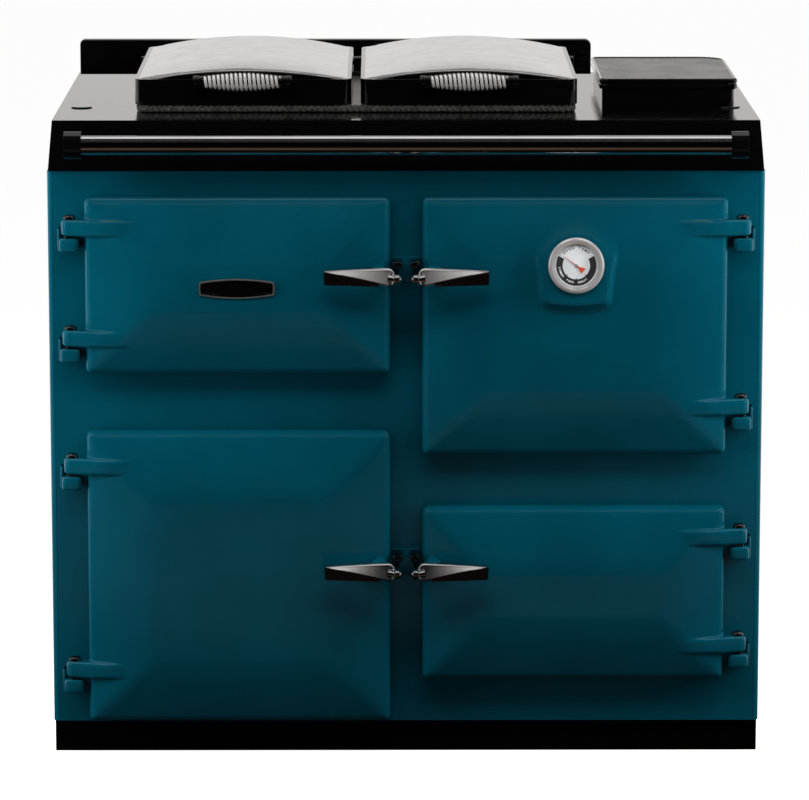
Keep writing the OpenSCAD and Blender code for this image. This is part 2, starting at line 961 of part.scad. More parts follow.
// Insulated plug behind the casting
module door_liner(d) {
    edge = door_wall + seat;
    plug = opening_inset + plug_clear;
    color(STEEL)
        difference() {
            on_door(d) {
                translate([edge, 0, edge])
                    upright(door_w - 2 * edge, d[H] - 2 * edge, door_corner_r,
                        -door_air - pocket_depth + seat, -door_air);
                translate([plug, 0, plug])
                    upright(door_w - 2 * plug, d[H] - 2 * plug, door_corner_r, -door_air - 1, plug_depth);
            }
            if (d == main_spec)
                on_gauge()
                    translate([0, 0, -90])
                        cylinder(r = 4.3, h = 70);
        }
}

module firebox_door() {
    door_shell(firebox_spec);
}

module main_oven_door() {
    door_shell(main_spec);
}

module burner_door() {
    door_shell(burner_spec);
}

module lower_oven_door() {
    door_shell(lower_spec);
}

module firebox_door_liner() {
    door_liner(firebox_spec);
}

module main_oven_door_liner() {
    door_liner(main_spec);
}

module burner_door_liner() {
    door_liner(burner_spec);
}

module lower_oven_door_liner() {
    door_liner(lower_spec);
}

// Tapered lever on its spindle, with the tongue that meets the catch
module lever(d) {
    y0 = -handle_reach;
    color(STEEL)
        on_latch(d) {
            rod_y(0, 0, spindle_r, y0 + lever_t - 1, -door_rim - 1);
            hull() {
                translate([-lever_l, y0 + 2, -lever_tip_h / 2])
                    cube([4, 8, lever_tip_h]);
                rod_y(0, 0, lever_hub_r, y0, y0 + lever_t, $fn = hull_fn);
            }
            translate([tongue_l, y0 + lever_t / 2, 0])
                sphere(r = tongue_w);
            slab(0, tongue_l, y0 + 4, y0 + lever_t - 4, -tongue_w / 2 - 1, tongue_w / 2 + 1);
            slab(tongue_l - tongue_w / 2, tongue_l + tongue_w / 2, y0 + lever_t / 2, -tongue_end,
                -tongue_w / 2, tongue_w / 2);
        }
}

module firebox_door_handle() {
    lever(firebox_spec);
}

module main_oven_door_handle() {
    lever(main_spec);
}

module burner_door_handle() {
    lever(burner_spec);
}

module lower_oven_door_handle() {
    lever(lower_spec);
}

module lug_places() {
    for (d = SPECS)
        on_door(d)
            for (z = [d[LUG_LOW], d[LUG_HIGH]])
                translate([-pin_side, -pin_out, z])
                    children();
}

// Fixed brackets under the lugs, each with an ear beside the lug
module hinge_brackets() {
    top = -collar_t - seat;
    ear_x = -boss_r - 0.8;
    color(TEAL)
        lug_places()
            difference() {
                union() {
                    translate([0, 0, top - bracket_h])
                        cylinder(r = boss_r, h = bracket_h);
                    slab(ear_x - ear_t, bracket_w / 2, 0, pin_out, top - bracket_h, top);
                    slab(ear_x - ear_t, ear_x, 4, pin_out, top - bracket_h, lug_h - 3);
                }
                translate([0, 0, top - bracket_h - 1])
                    cylinder(r = pin_r + fit, h = bracket_h + 2);
            }
}

module hinge_pins() {
    color(STEEL)
        lug_places() {
            bottom = -collar_t - seat - bracket_h;
            translate([0, 0, bottom])
                cylinder(r = pin_r, h = lug_h + seat + 1 - bottom);
            translate([0, 0, -collar_t - seat])
                cylinder(r = pin_r + 3, h = collar_t);
            translate([0, 0, lug_h + seat]) {
                cylinder(r = pin_head_r, h = pin_head_h / 2);
                cylinder(r1 = pin_head_r, r2 = pin_head_r - 4, h = pin_head_h);
            }
        }
}

// One catch between each pair of levers: a base and two tabs over the tongues
module door_catches() {
    color(STEEL)
        for (z = [top_latch, lower_latch_z])
            translate([0, front, z]) {
                slab(-catch_w / 2, catch_w / 2, -catch_t, 0, -catch_h / 2, catch_h / 2);
                for (x = [-catch_w / 2 + 1, 5])
                    slab(x, x + catch_w / 2 - 6, -tab_reach, -catch_t + 1, tab_rise, tab_rise + tab_t);
                for (x = [-12, 12])
                    translate([x, -tab_reach + 9, tab_rise + tab_t - 1])
                        cylinder(r = 3.5, h = 3);
            }
}

// ---- Fittings on the doors ----

module thermometer_case() {
    color(STEEL)
        on_gauge() {
            difference() {
                cylinder(r = gauge_r, h = 9);
                translate([0, 0, 2])
                    cylinder(r = dial_r, h = 8);
            }
            translate([0, 0, -88])
                cylinder(r = 4, h = 89);
            cylinder(r = 1.5, h = 2.8);
        }
}

module thermometer_glass() {
    color([0.8, 0.9, 0.95, 0.4])
        on_gauge()
            translate([0, 0, 6])
                cylinder(r = dial_r - seat, h = 1.5);
}

module thermometer_pointer() {
    reach = dial_r - 6;
    color([0.85, 0.15, 0.1])
        on_gauge()
            translate([0, 0, 3])
                linear_extrude(height = 1)
                    rotate(135)
                        polygon([[-8, -3], [-8, 3], [0, 1.2], [reach, 0.5], [reach, -0.5], [0, -1.2]]);
}

// Bare plate on the firebox door
module door_plaque() {
    plaque_w = 105;
    plaque_h = 28;
    plaque_t = 3;
    plaque_z = 677;
    color(BLACK)
        translate([-(door_gap + door_w) / 2 - plaque_w / 2, front - door_crown,
            plaque_z + latch_shift - plaque_h / 2])
            upright(plaque_w, plaque_h, plaque_h / 2 - 0.1, -plaque_t, 0);
}

// ---- Handrail ----

module handrail() {
    end = half_w - rail_inset - rail_bracket_w / 2;
    y = front - rail_out;
    z = hob_h - rail_drop;
    color(STEEL)
        difference() {
            rod_x(y, z, rail_r, -end, end);
            rod_x(y, z, rail_r - 2, -end - 1, end + 1);
        }
}

module rail_brackets() {
    boss = rail_r + 5.5;
    x1 = half_w - rail_inset;
    x0 = x1 - rail_bracket_w;
    y = front - rail_out;
    z = hob_h - rail_drop;
    color(BLACK)
        for (s = [LEFT, RIGHT])
            mirror([s == LEFT ? 1 : 0, 0, 0])
                difference() {
                    union() {
                        rod_x(y, z, boss, x0, x1);
                        slab(x0 + 2, x1 - 2, y, front + fascia_in + 2, z - 14, z + 14);
                    }
                    rod_x(y, z, rail_r + fit, x0 - 1, x0 + rail_bracket_w / 2 + seat);
                    translate([x0 - 5, 0, 0])
                        rotate([90, 0, 90])
                            linear_extrude(height = rail_bracket_w + 10)
                                fascia_profile();
                }
}

// ---- Lids ----

// Moulding of a lid between two heights
module lid_block(mid_x, inset, r, z0, z1) {
    lying(mid_x - lid_w / 2 + inset, mid_x + lid_w / 2 - inset, lid_y0 + inset, lid_y1 - inset, r, z0, z1);
}

module lid_frame(mid_x) {
    arm_far = lid_w / 2 - lid_arm_inset;
    color(BLACK)
        difference() {
            union() {
                lid_block(mid_x, 0, lid_corner_r, lid_z0, lid_z1);
                for (x = [mid_x - arm_far, mid_x + arm_far - lid_arm_w]) {
                    slab(x, x + lid_arm_w, lid_y1 - lid_corner_r - 4, lid_pivot_y,
                        lid_pivot_z - 6, lid_pivot_z + lid_boss_r);
                    rod_x(lid_pivot_y, lid_pivot_z, lid_boss_r, x, x + lid_arm_w);
                }
            }
            lid_block(mid_x, lid_wall, lid_inner_r, lid_z0 - 1, lid_z1 + 1);
            rod_x(lid_pivot_y, lid_pivot_z, lid_pin_r + fit, mid_x - lid_w / 2, mid_x + lid_w / 2);
        }
}

// The dome's cross-section, swept straight from front to back
module dome_body(mid_x, r, half, y0, y1) {
    intersection() {
        translate([0, y1, lid_z1 + dome_rise - dome_r])
            rotate([90, 0, 0])
                translate([mid_x, 0, 0])
                    cylinder(r = r, h = y1 - y0, $fn = 360);
        slab(mid_x - half, mid_x + half, y0, y1, lid_z1, lid_z1 + 2 * dome_rise);
    }
}

module lid_dome(mid_x) {
    y0 = lid_y0 + dome_border - 2;
    y1 = lid_y1 - dome_border + 2;
    half = dome_half + 2;
    color(STEEL)
        difference() {
            dome_body(mid_x, dome_r, half, y0, y1);
            dome_body(mid_x, dome_r - dome_t, half - dome_t, y0 + dome_t, y1 - dome_t);
        }
}

module lid_liner(mid_x) {
    inset = dome_border - 2 + dome_t + seat;
    color(WOOL) {
        lid_block(mid_x, lid_wall + seat, lid_inner_r - seat, lid_z0 + liner_lift, lid_z1 - 1);
        dome_body(mid_x, dome_r - dome_t - seat, lid_w / 2 - inset, lid_y0 + inset, lid_y1 - inset);
        slab(mid_x - lid_w / 4, mid_x + lid_w / 4, lid_y0 + lid_d / 4, lid_y1 - lid_d / 4,
            lid_z1 - 2, lid_z1 + 1);
    }
}

module lid_frame_left() {
    lid_frame(lid_left_x);
}

module lid_frame_right() {
    lid_frame(lid_right_x);
}

module lid_dome_left() {
    lid_dome(lid_left_x);
}

module lid_dome_right() {
    lid_dome(lid_right_x);
}

module lid_liner_left() {
    lid_liner(lid_left_x);
}

module lid_liner_right() {
    lid_liner(lid_right_x);
}

// Two chrome brackets, the rod between them and a ferrule at each end of the coil
module lid_grip(mid_x) {
    y = lid_y0 - grip_out;
    inner = grip_half - grip_bracket_t / 2;
    color(STEEL) {
        rod_x(y, grip_z, rod_r, mid_x - grip_half, mid_x + grip_half);
        for (s = [LEFT, RIGHT])
            translate([mid_x, 0, 0])
                mirror([s == LEFT ? 1 : 0, 0, 0]) {
                    rod_x(y, grip_z, grip_boss_r, inner, inner + grip_bracket_t);
                    slab(inner, inner + grip_bracket_t, y, lid_y0, grip_z - 15, grip_z - 2);
                    rod_x(y, grip_z, ferrule_r, coil_end_x + seat, inner + 1);
                }
    }
}

module lid_grip_left() {
    lid_grip(lid_left_x);
}

module lid_grip_right() {
    lid_grip(lid_right_x);
}

// Centre line of the coil: straight end, helix of swelling radius, straight end
function coil_radius(x) = coil_end_r + (coil_mid_r - coil_end_r) * cos(90 * x / coil_half);

function coil_point(i) =
    let (x = -coil_half + coil_pitch * i / rings_per_turn)
    [x, coil_radius(x) * cos(360 * i / rings_per_turn), coil_radius(x) * sin(360 * i / rings_per_turn)];

coil_path = [
    [-coil_end_x, coil_end_r, 0],
    for (i = [0 : coil_steps]) coil_point(i),
    [coil_end_x, coil_end_r, 0]
];
coil_last = len(coil_path) - 1;

function unit(v) = v / norm(v);

// Direction of the wire at a ring: along the axis at both ends, else between its neighbours
function coil_way(i) =
    i == 0 || i == coil_last ? [1, 0, 0]
    : unit(unit(coil_path[i + 1] - coil_path[i]) + unit(coil_path[i] - coil_path[i - 1]));

// Ring of the wire, squared to its direction, with one corner pointing out from the coil's axis
function coil_ring(i) =
    let (p = coil_path[i])
    let (way = coil_way(i))
    let (out = unit([0, p[1], p[2]] - ([0, p[1], p[2]] * way) * way))
    let (across = cross(way, out))
    [for (k = [0 : coil_sides - 1])
        p + wire_r * (out * cos(360 * k / coil_sides) + across * sin(360 * k / coil_sides))];

// Two triangles between neighbouring corners of neighbouring rings
function coil_strip(i, k) =
    let (a = i * coil_sides + k)
    let (b = i * coil_sides + (k + 1) % coil_sides)
    [[a, a + coil_sides, b], [b, a + coil_sides, b + coil_sides]];

function coil_cap(first, flip) =
    [for (k = [1 : coil_sides - 2])
        flip ? [first, first + k + 1, first + k] : [first, first + k, first + k + 1]];

coil_points = [for (i = [0 : coil_last]) for (p = coil_ring(i)) p];
coil_faces = concat(
    [for (i = [0 : coil_last - 1]) for (k = [0 : coil_sides - 1]) for (t = coil_strip(i, k)) t],
    coil_cap(0, false),
    coil_cap(coil_last * coil_sides, true)
);

// Least gap of the wire to itself, from points more than half a turn apart along it
coil_gap = min([
    for (i = [0 : coil_last])
        for (j = [i + 5 : 1 : min(i + 2 * rings_per_turn, coil_last)])
            norm(coil_path[i] - coil_path[j]) - wire_d
]);
echo(coil_least_gap = coil_gap);

module lid_coil(mid_x) {
    color(STEEL)
        translate([mid_x, lid_y0 - grip_out, grip_z])
            polyhedron(points = coil_points, faces = coil_faces);
}

module lid_coil_left() {
    lid_coil(lid_left_x);
}

module lid_coil_right() {
    lid_coil(lid_right_x);
}

// Three pedestals and the one long pin through them
module lid_hinges() {
    outer = pedestal_w / 2 + 1;
    color(BLACK) {
        rod_x(lid_pivot_y, lid_pivot_z, lid_pin_r, hob_x0 - outer, hob_x1 + outer);
        for (x = [hob_x0 - outer, hob_mid_x, hob_x1 + outer])
            translate([x - pedestal_w / 2, 0, 0]) {
                rod_x(lid_pivot_y, lid_pivot_z, lid_boss_r - 1, 0, pedestal_w);
                slab(0, pedestal_w, lid_pivot_y - lid_boss_r + 1, lid_pivot_y + lid_boss_r - 1,
                    hob_h, lid_pivot_z);
            }
    }
}

// ---- Control box ----

module well_block(grow, z0, z1) {
    slab(control_left + well_wall - well_t - grow, control_left + control_w - well_wall + well_t + grow,
        control_y0 + well_wall - well_t - grow, control_y1 - well_wall + well_t + grow, z0, z1);
}

module control_housing() {
    x1 = control_left + control_w;
    color(BLACK)
        difference() {
            union() {
                lying(control_left, x1, control_y0, control_y1, 12, hob_h, control_z1);
                well_block(0, well_floor, control_z1);
                cover_knuckle(control_left + 18, control_left + 38, control_y1 - 2, cover_pivot_z - 15);
                cover_knuckle(x1 - 58, x1 - 38, control_y1 - 2, cover_pivot_z - 15);
                rod_x(cover_pivot_y, cover_pivot_z, cover_pin_r, control_left + 20, x1 - 40);
            }
            well_block(-well_t, well_floor + well_t, control_z1 + 1);
            for (y = [knob_front_y, knob_rear_y])
                translate([knob_x, y, well_floor - 1])
                    cylinder(r = knob_stem_r + fit, h = well_t + 2);
            translate([knob_x, switch_y, 0])
                slab(-switch_w / 2 - 1, switch_w / 2 + 1, -switch_l / 2 - 1, switch_l / 2 + 1,
                    well_floor - 1, well_floor + well_t + 1);
        }
    color(BLACK)
        translate([knob_x, switch_y, switch_pivot_z])
            for (s = [LEFT, RIGHT])
                mirror([s == LEFT ? 1 : 0, 0, 0])
                    difference() {
                        slab(switch_w / 2 + 1, switch_w / 2 + 4, -5, 5, -5, 4);
                        rod_x(0, 0, switch_pin_r + fit, switch_w / 2, switch_w / 2 + 5);
                    }
}

// Knuckle round the cover's pin, joined to the wall in front of it
module cover_knuckle(x0, x1, y0, z0) {
    rod_x(cover_pivot_y, cover_pivot_z, cover_knuckle_r, x0, x1);
    slab(x0, x1, y0, cover_pivot_y, z0, control_z1 - 0.5);
}

module control_cover() {
    x0 = control_left - cover_over;
    x1 = control_left + control_w + cover_over;
    y0 = control_y0 - cover_over;
    y1 = control_y1 + cover_over;
    small_r = 12;
    large_r = 40;
    color(BLACK)
        difference() {
            union() {
                translate([0, 0, control_z1])
                    linear_extrude(height = cover_t) {
                        translate([x0 + small_r, y0])
                            square([x1 - x0 - 2 * small_r, y1 - y0 - large_r]);
                        translate([x0, y0 + small_r])
                            square([x1 - x0, y1 - y0 - small_r - large_r]);
                        translate([x0 + small_r, y0])
                            square([x1 - x0 - small_r - large_r, y1 - y0]);
                        for (p = [[x0 + small_r, y0 + small_r], [x1 - small_r, y0 + small_r],
                            [x0 + small_r, y1 - small_r]])
                            translate(p)
                                circle(r = small_r);
                        translate([x0, y1 - large_r])
                            square([large_r, large_r - small_r]);
                        translate([x1 - large_r, y1 - large_r])
                            circle(r = large_r);
                    }
                translate([x1 - 14, y0 - 6, control_z1])
                    cube([10, 12, cover_t - 6]);
                rod_x(cover_pivot_y, cover_pivot_z, cover_knuckle_r, control_left + 39,
                    x1 - cover_over - 59);
                slab(control_left + 39, x1 - cover_over - 59, y1 - 2, cover_pivot_y,
                    control_z1, cover_pivot_z + cover_knuckle_r);
            }
            slab(x0 + 10, x1 - 10, y0 + 10, y1 - 14, control_z1 - 1, control_z1 + cover_t - 8);
            rod_x(cover_pivot_y, cover_pivot_z, cover_pin_r + fit, control_left, x1);
        }
}

module knob(y) {
    z0 = well_floor + well_t + seat;
    color(BLACK)
        translate([knob_x, y, 0]) {
            translate([0, 0, z0])
                cylinder(r = knob_r, h = 6);
            translate([0, 0, z0])
                cylinder(r = knob_r - 4, h = knob_h);
            translate([0, 0, well_floor - 8])
                cylinder(r = knob_stem_r, h = well_t + 10);
            slab(-2, 2, 0, knob_r - 2, z0, z0 + knob_h + 1);
        }
}

module knob_front() {
    knob(knob_front_y);
}

module knob_rear() {
    knob(knob_rear_y);
}

// Rocker on its own small pin
module power_switch() {
    color([0.7, 0.1, 0.08])
        translate([knob_x, switch_y, switch_pivot_z]) {
            slab(-switch_w / 2, switch_w / 2, -switch_l / 2, switch_l / 2, -3, 4);
            rod_x(0, 0, switch_pin_r, -switch_w / 2 - 3.5, switch_w / 2 + 3.5);
        }
}

plinth();
base_frame();
levelling_feet();
front_plate();
side_panels();
back_panel();
top_plate();
upstand();
hotplate();
rope_seals();
insulation();
blanking_plugs();
main_oven();
lower_oven();
oven_shelves();
firebox();
firebox_crown();
burner();
flue_duct();
flue_box();
flue_socket();
water_connections();
service_inlets();
firebox_door();
main_oven_door();
burner_door();
lower_oven_door();
firebox_door_liner();
main_oven_door_liner();
burner_door_liner();
lower_oven_door_liner();
firebox_door_handle();
main_oven_door_handle();
burner_door_handle();
lower_oven_door_handle();
hinge_brackets();
hinge_pins();
door_catches();
handrail();
rail_brackets();
thermometer_case();
thermometer_glass();
thermometer_pointer();
door_plaque();
lid_frame_left();
lid_frame_right();
lid_dome_left();
lid_dome_right();
lid_liner_left();
lid_liner_right();
lid_grip_left();
lid_grip_right();
lid_coil_left();
lid_coil_right();
lid_hinges();
control_housing();
control_cover();
knob_front();
knob_rear();
power_switch();
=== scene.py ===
"""Looks of a cast iron range cooker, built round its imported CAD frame.

Lengths are in millimetres, and in metres from the floor, lamps and camera on.
"""

import math

import bmesh
import bpy
import numpy as np
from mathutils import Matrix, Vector

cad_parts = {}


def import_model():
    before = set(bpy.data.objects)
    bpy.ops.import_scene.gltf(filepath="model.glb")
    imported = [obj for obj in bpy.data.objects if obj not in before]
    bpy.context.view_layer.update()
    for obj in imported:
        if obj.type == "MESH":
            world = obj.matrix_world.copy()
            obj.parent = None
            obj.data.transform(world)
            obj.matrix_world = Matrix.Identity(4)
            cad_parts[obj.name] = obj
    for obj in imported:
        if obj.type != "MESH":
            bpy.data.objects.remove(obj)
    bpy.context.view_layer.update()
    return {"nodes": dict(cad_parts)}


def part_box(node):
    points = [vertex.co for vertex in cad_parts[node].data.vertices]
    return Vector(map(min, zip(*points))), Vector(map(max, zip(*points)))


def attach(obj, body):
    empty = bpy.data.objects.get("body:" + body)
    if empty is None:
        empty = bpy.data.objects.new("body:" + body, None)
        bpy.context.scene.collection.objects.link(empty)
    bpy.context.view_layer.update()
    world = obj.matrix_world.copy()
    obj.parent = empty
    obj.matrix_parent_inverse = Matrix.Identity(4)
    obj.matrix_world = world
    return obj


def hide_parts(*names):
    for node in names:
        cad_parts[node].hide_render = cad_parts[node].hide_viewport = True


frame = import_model()
nodes = frame["nodes"]
scene = bpy.context.scene
MM = 0.001

# ---- sizes

HOB_Z = 905.0
PLATE_Y = -270.0  # face of the front plate: heights on the doors count out from it
DOOR_X = 22.5
DOOR_W = 425.0
HINGE_X = DOOR_X + DOOR_W
DOOR_R = 9.0
RIM_H = 30.0
RIM_ROUND = 9.0
CROWN_RISE = 22.0
CROWN_REACH = 97.0
BACK_H = 5.0
POCKET_IN = 8.0
POCKET_H = 24.0
LUG_H = 23.0
ARM_ROUND = 5.5
PIN_X = HINGE_X + 20.0
PIN_Y = PLATE_Y - 22.0
BOSS_R = 12.0
LATCH_X = 38.0
LATCH_Z = {"top": 697.0, "bottom": 281.0}
LEVER_FRONT = -362.0
GAUGE = Vector((235.0, -328.0, 710.0))
GAUGE_TILT = math.radians(8.0)
LIDS = {"left": -229.0, "right": 89.0}
LID_TOP = 952.2
GRIP_Y = -205.0
GRIP_Z = 951.2

# node before _casting, side, foot, height, lugs above the foot, latch row
DOORS = [
    ("firebox_door", -1, 552.8, 248.5, (39.0, 194.5), "top"),
    ("main_oven_door", 1, 437.7, 363.6, (57.0, 309.6), "top"),
    ("burner_door", -1, 54.5, 417.0, (64.0, 356.0), "bottom"),
    ("lower_oven_door", 1, 115.0, 248.3, (39.0, 194.3), "bottom"),
]

# ---- mesh helpers


def placed(name, data):
    piece = bpy.data.objects.new(name, data)
    scene.collection.objects.link(piece)
    return piece


class Shell:
    """Closed shells collected into one mesh."""

    def __init__(self):
        self.verts = []
        self.faces = []

    def add(self, verts, faces):
        start = len(self.verts)
        self.verts += verts
        self.faces += [tuple(i + start for i in f) for f in faces]
        return self

    def object(self, name, sharp=35):
        mesh = bpy.data.meshes.new(name)
        mesh.from_pydata([tuple(c * MM for c in v) for v in self.verts], [], self.faces)
        work = bmesh.new()
        work.from_mesh(mesh)
        bmesh.ops.recalc_face_normals(work, faces=work.faces[:])
        work.to_mesh(mesh)
        work.free()
        mesh.polygons.foreach_set("use_smooth", [True] * len(mesh.polygons))
        mesh.set_sharp_from_angle(angle=math.radians(sharp))
        return placed(name, mesh)


def loft(rings, caps=True, closed=False):
    """Faces between rings of equally many points; closed joins the last ring to the first."""
    count = len(rings[0])
    verts = [p for ring in rings for p in ring]
    faces = []
    for i in range(len(rings) if closed else len(rings) - 1):
        a = i * count
        b = (i + 1) % len(rings) * count
        for j in range(count):
            k = (j + 1) % count
            faces.append((a + j, a + k, b + k, b + j))
    if caps and not closed:
        faces.append(tuple(range(count)))
        faces.append(tuple(len(verts) - count + j for j in range(count)))
    return verts, faces


def guide_for(along):
    """A direction well away from the given one."""
    return Vector((0, 0, 1)) if abs(along.z) < 0.9 else Vector((0, 1, 0))


def lathe(profile, origin, axis, steps, caps=True):
    """Turns (radius, height) pairs about an axis. A radius of 0 closes an end."""
    along = Vector(axis).normalized()
    across = guide_for(along).cross(along).normalized()
    up = along.cross(across)
    verts = []
    rows = []
    for radius, height in profile:
        base = Vector(origin) + along * height
        if radius < 1e-6:
            rows.append([len(verts)])
            verts.append(base)
            continue
        rows.append(list(range(len(verts), len(verts) + steps)))
        for i in range(steps):
            turn = 2 * math.pi * i / steps
            verts.append(base + radius * (math.cos(turn) * across + math.sin(turn) * up))
    faces = []
    for a, b in zip(rows, rows[1:]):
        for i in range(steps):
            j = (i + 1) % steps
            quad = [a[i % len(a)], a[j % len(a)], b[j % len(b)], b[i % len(b)]]
            faces.append(tuple(dict.fromkeys(quad)))
    if caps:
        faces += [tuple(row) for row in (rows[0], rows[-1]) if len(row) > 1]
    return verts, faces


def frames_along(path, closed):
    """A path's points and two cross directions at each, carried along it without twist."""
    points = [Vector(p) for p in path]
    count = len(points)
    tangents = []
    for i in range(count):
        if closed:
            t = points[(i + 1) % count] - points[i - 1]
        else:
            t = points[min(i + 1, count - 1)] - points[max(i - 1, 0)]
        tangents.append(t.normalized())
    guide = guide_for(tangents[0])
    side = (guide - tangents[0] * guide.dot(tangents[0])).normalized()
    out = []
    for t in tangents:
        side = (side - t * side.dot(t)).normalized()
        out.append((side, t.cross(side)))
    return points, out


def tube(path, radius, sides, closed=False):
    """A round tube along a path; radius is a number or one number for each point."""
    points, crosses = frames_along(path, closed)
    radii = radius if isinstance(radius, list) else [radius] * len(points)
    rings = []
    for p, (a, b), r in zip(points, crosses, radii):
        turns = [2 * math.pi * k / sides for k in range(sides)]
        rings.append([p + r * (math.cos(turn) * a + math.sin(turn) * b) for turn in turns])
    return loft(rings, closed=closed)


def between(a, b, spacing):
    """Points at about the given spacing on a straight line, without its ends."""
    count = int(math.hypot(b[0] - a[0], b[1] - a[1]) / spacing)
    shares = [i / count for i in range(1, count)]
    return [(a[0] + (b[0] - a[0]) * t, a[1] + (b[1] - a[1]) * t, a[2], a[3]) for t in shares]


def round_rect(x0, x1, y0, y1, r, steps, spacing=1e9):
    """Points and outward normals round a rectangle with rounded corners."""
    out = []
    corners = [(x1 - r, y0 + r, -90), (x1 - r, y1 - r, 0), (x0 + r, y1 - r, 90), (x0 + r, y0 + r, 180)]
    for cx, cy, start in corners:
        arc = []
        for i in range(steps + 1):
            turn = math.radians(start + 90 * i / steps)
            n = (math.cos(turn), math.sin(turn))
            arc.append((cx + r * n[0], cy + r * n[1], n[0], n[1]))
        if out:
            out += between(out[-1], arc[0], spacing)
        out += arc
    return out + between(out[-1], out[0], spacing)


def rounded_block(x0, x1, y0, y1, z0, z1, r, soft):
    """A block with its outline rounded in plan and its top and bottom edges softened."""
    levels = []
    for turn in (0, 30, 60, 90):
        a = math.radians(turn)
        levels.append((z0 + soft * (1 - math.cos(a)), soft * (1 - math.sin(a))))
    levels += [(z1 - (h - z0), inset) for h, inset in reversed(levels)]
    rings = []
    for h, inset in levels:
        plan = round_rect(x0 + inset, x1 - inset, y0 + inset, y1 - inset, r, 5)
        rings.append([(x, y, h) for x, y, _, _ in plan])
    return loft(rings)


def soft_min(a, b, k):
    h = np.clip(0.5 + 0.5 * (b - a) / k, 0, 1)
    return b * (1 - h) + a * h - k * h * (1 - h)


def soft_max(a, b, k):
    return -soft_min(-a, -b, k)


# ---- materials


class Nodes:
    """Short calls that add nodes to a tree."""

    def __init__(self, tree):
        self.tree = tree
        tree.nodes.clear()

    def add(self, kind, inputs=None, **settings):
        node = self.tree.nodes.new(kind)
        for key, value in settings.items():
            setattr(node, key, value)
        for key, value in (inputs or {}).items():
            if isinstance(value, bpy.types.NodeSocket):
                self.tree.links.new(value, node.inputs[key])
            else:
                node.inputs[key].default_value = value
        return node

    def math(self, operation, a, b=0.5):
        return self.add("ShaderNodeMath", {0: a, 1: b}, operation=operation).outputs[0]

    def span(self, value, low, high, to_low=0, to_high=1, smooth=False):
        ends = {"Value": value, "From Min": low, "From Max": high, "To Min": to_low, "To Max": to_high}
        kind = "SMOOTHSTEP" if smooth else "LINEAR"
        return self.add("ShaderNodeMapRange", ends, interpolation_type=kind).outputs["Result"]

    def blend(self, factor, a, b):
        node = self.add("ShaderNodeMix", data_type="RGBA")
        for index, value in ((0, factor), (6, a), (7, b)):
            if isinstance(value, bpy.types.NodeSocket):
                self.tree.links.new(value, node.inputs[index])
            else:
                node.inputs[index].default_value = (*value, 1)
        return node.outputs[2]

    def noise(self, scale, detail, stretch=None, rough=0.5):
        place = self.add("ShaderNodeTexCoord").outputs["Object"]
        if stretch:
            place = self.add("ShaderNodeMapping", {"Vector": place, "Scale": stretch}).outputs[0]
        sizes = {"Vector": place, "Scale": scale, "Detail": detail, "Roughness": rough}
        return self.add("ShaderNodeTexNoise", sizes).outputs["Fac"]

    def by_ray(self, seen, mirrored, others, out):
        """One shader for the camera, one for reflections and glass, and one for other rays."""
        path = self.add("ShaderNodeLightPath").outputs
        glossy = self.math("MAXIMUM", path["Is Glossy Ray"], path["Is Transmission Ray"])
        first = {0: glossy, 1: others.outputs[0], 2: mirrored.outputs[0]}
        first = self.add("ShaderNodeMixShader", first).outputs[0]
        last = {0: path["Is Camera Ray"], 1: first, 2: seen.outputs[0]}
        self.tree.links.new(self.add("ShaderNodeMixShader", last).outputs[0], out.inputs[0])


SOCKETS = {
    "metallic": "Metallic",
    "spec": "Specular IOR Level",
    "sheen": "Sheen Weight",
    "alpha": "Alpha",
}


def shader(
    name, color, second, rough, bumps, mottle=9, haze=22, stretch=None, speck=None, worn=None, **fixed
):
    """A Principled material: colour drifts to a second colour, roughness between two values.

    bumps are (scale, height in mm) with a stretch where the grain has a direction, speck is (amount,
    scale, colour), the argument after speck is (amount, colour) of a painted highlight, a lighter colour
    laid on thin convex edges in patches, and the rest are SOCKETS.
    """
    material = bpy.data.materials.new(name)
    material.use_nodes = True
    n = Nodes(material.node_tree)
    out = n.add("ShaderNodeOutputMaterial")
    surface = n.add("ShaderNodeBsdfPrincipled")
    link = n.tree.links.new
    link(surface.outputs[0], out.inputs[0])
    drift = n.span(n.noise(mottle, 4, stretch), 0.35, 0.65, smooth=True)
    tone = n.blend(drift, color, second)
    if speck:
        amount, size, speck_color = speck
        mask = n.span(n.noise(size, 2), 0.70, 0.76)
        tone = n.blend(n.math("MULTIPLY", mask, amount), tone, speck_color)
    # painted highlight: a lighter colour laid on thin convex edges, in patches
    if worn:
        amount, edge_highlight_color = worn
        edge = n.span(n.add("ShaderNodeNewGeometry").outputs["Pointiness"], 0.53, 0.60)
        patch = n.span(n.noise(60, 4), 0.45, 0.65)
        mask = n.math("MULTIPLY", edge, patch)
        tone = n.blend(n.math("MULTIPLY", mask, amount), tone, edge_highlight_color)
    link(tone, surface.inputs["Base Color"])
    cloud = n.noise(haze, 5, stretch, 0.6)
    link(n.span(cloud, 0.3, 0.7, *rough), surface.inputs["Roughness"])
    normal = None
    for scale, height, *grain in bumps:
        texture = n.noise(scale, 2, *grain)
        node = n.add("ShaderNodeBump", {"Height": texture, "Strength": 1, "Distance": height * MM})
        if normal:
            link(normal, node.inputs["Normal"])
        normal = node.outputs[0]
    link(normal, surface.inputs["Normal"])
    for key, value in fixed.items():
        surface.inputs[SOCKETS[key]].default_value = value
    material.diffuse_color = (*color, 1)
    return material


TEAL = (0.0004, 0.050, 0.076), (0.0003, 0.044, 0.067)
BLACK = (0.0011, 0.0010, 0.0012)
BLACK_IRON = BLACK, (0.0013, 0.0012, 0.0012)

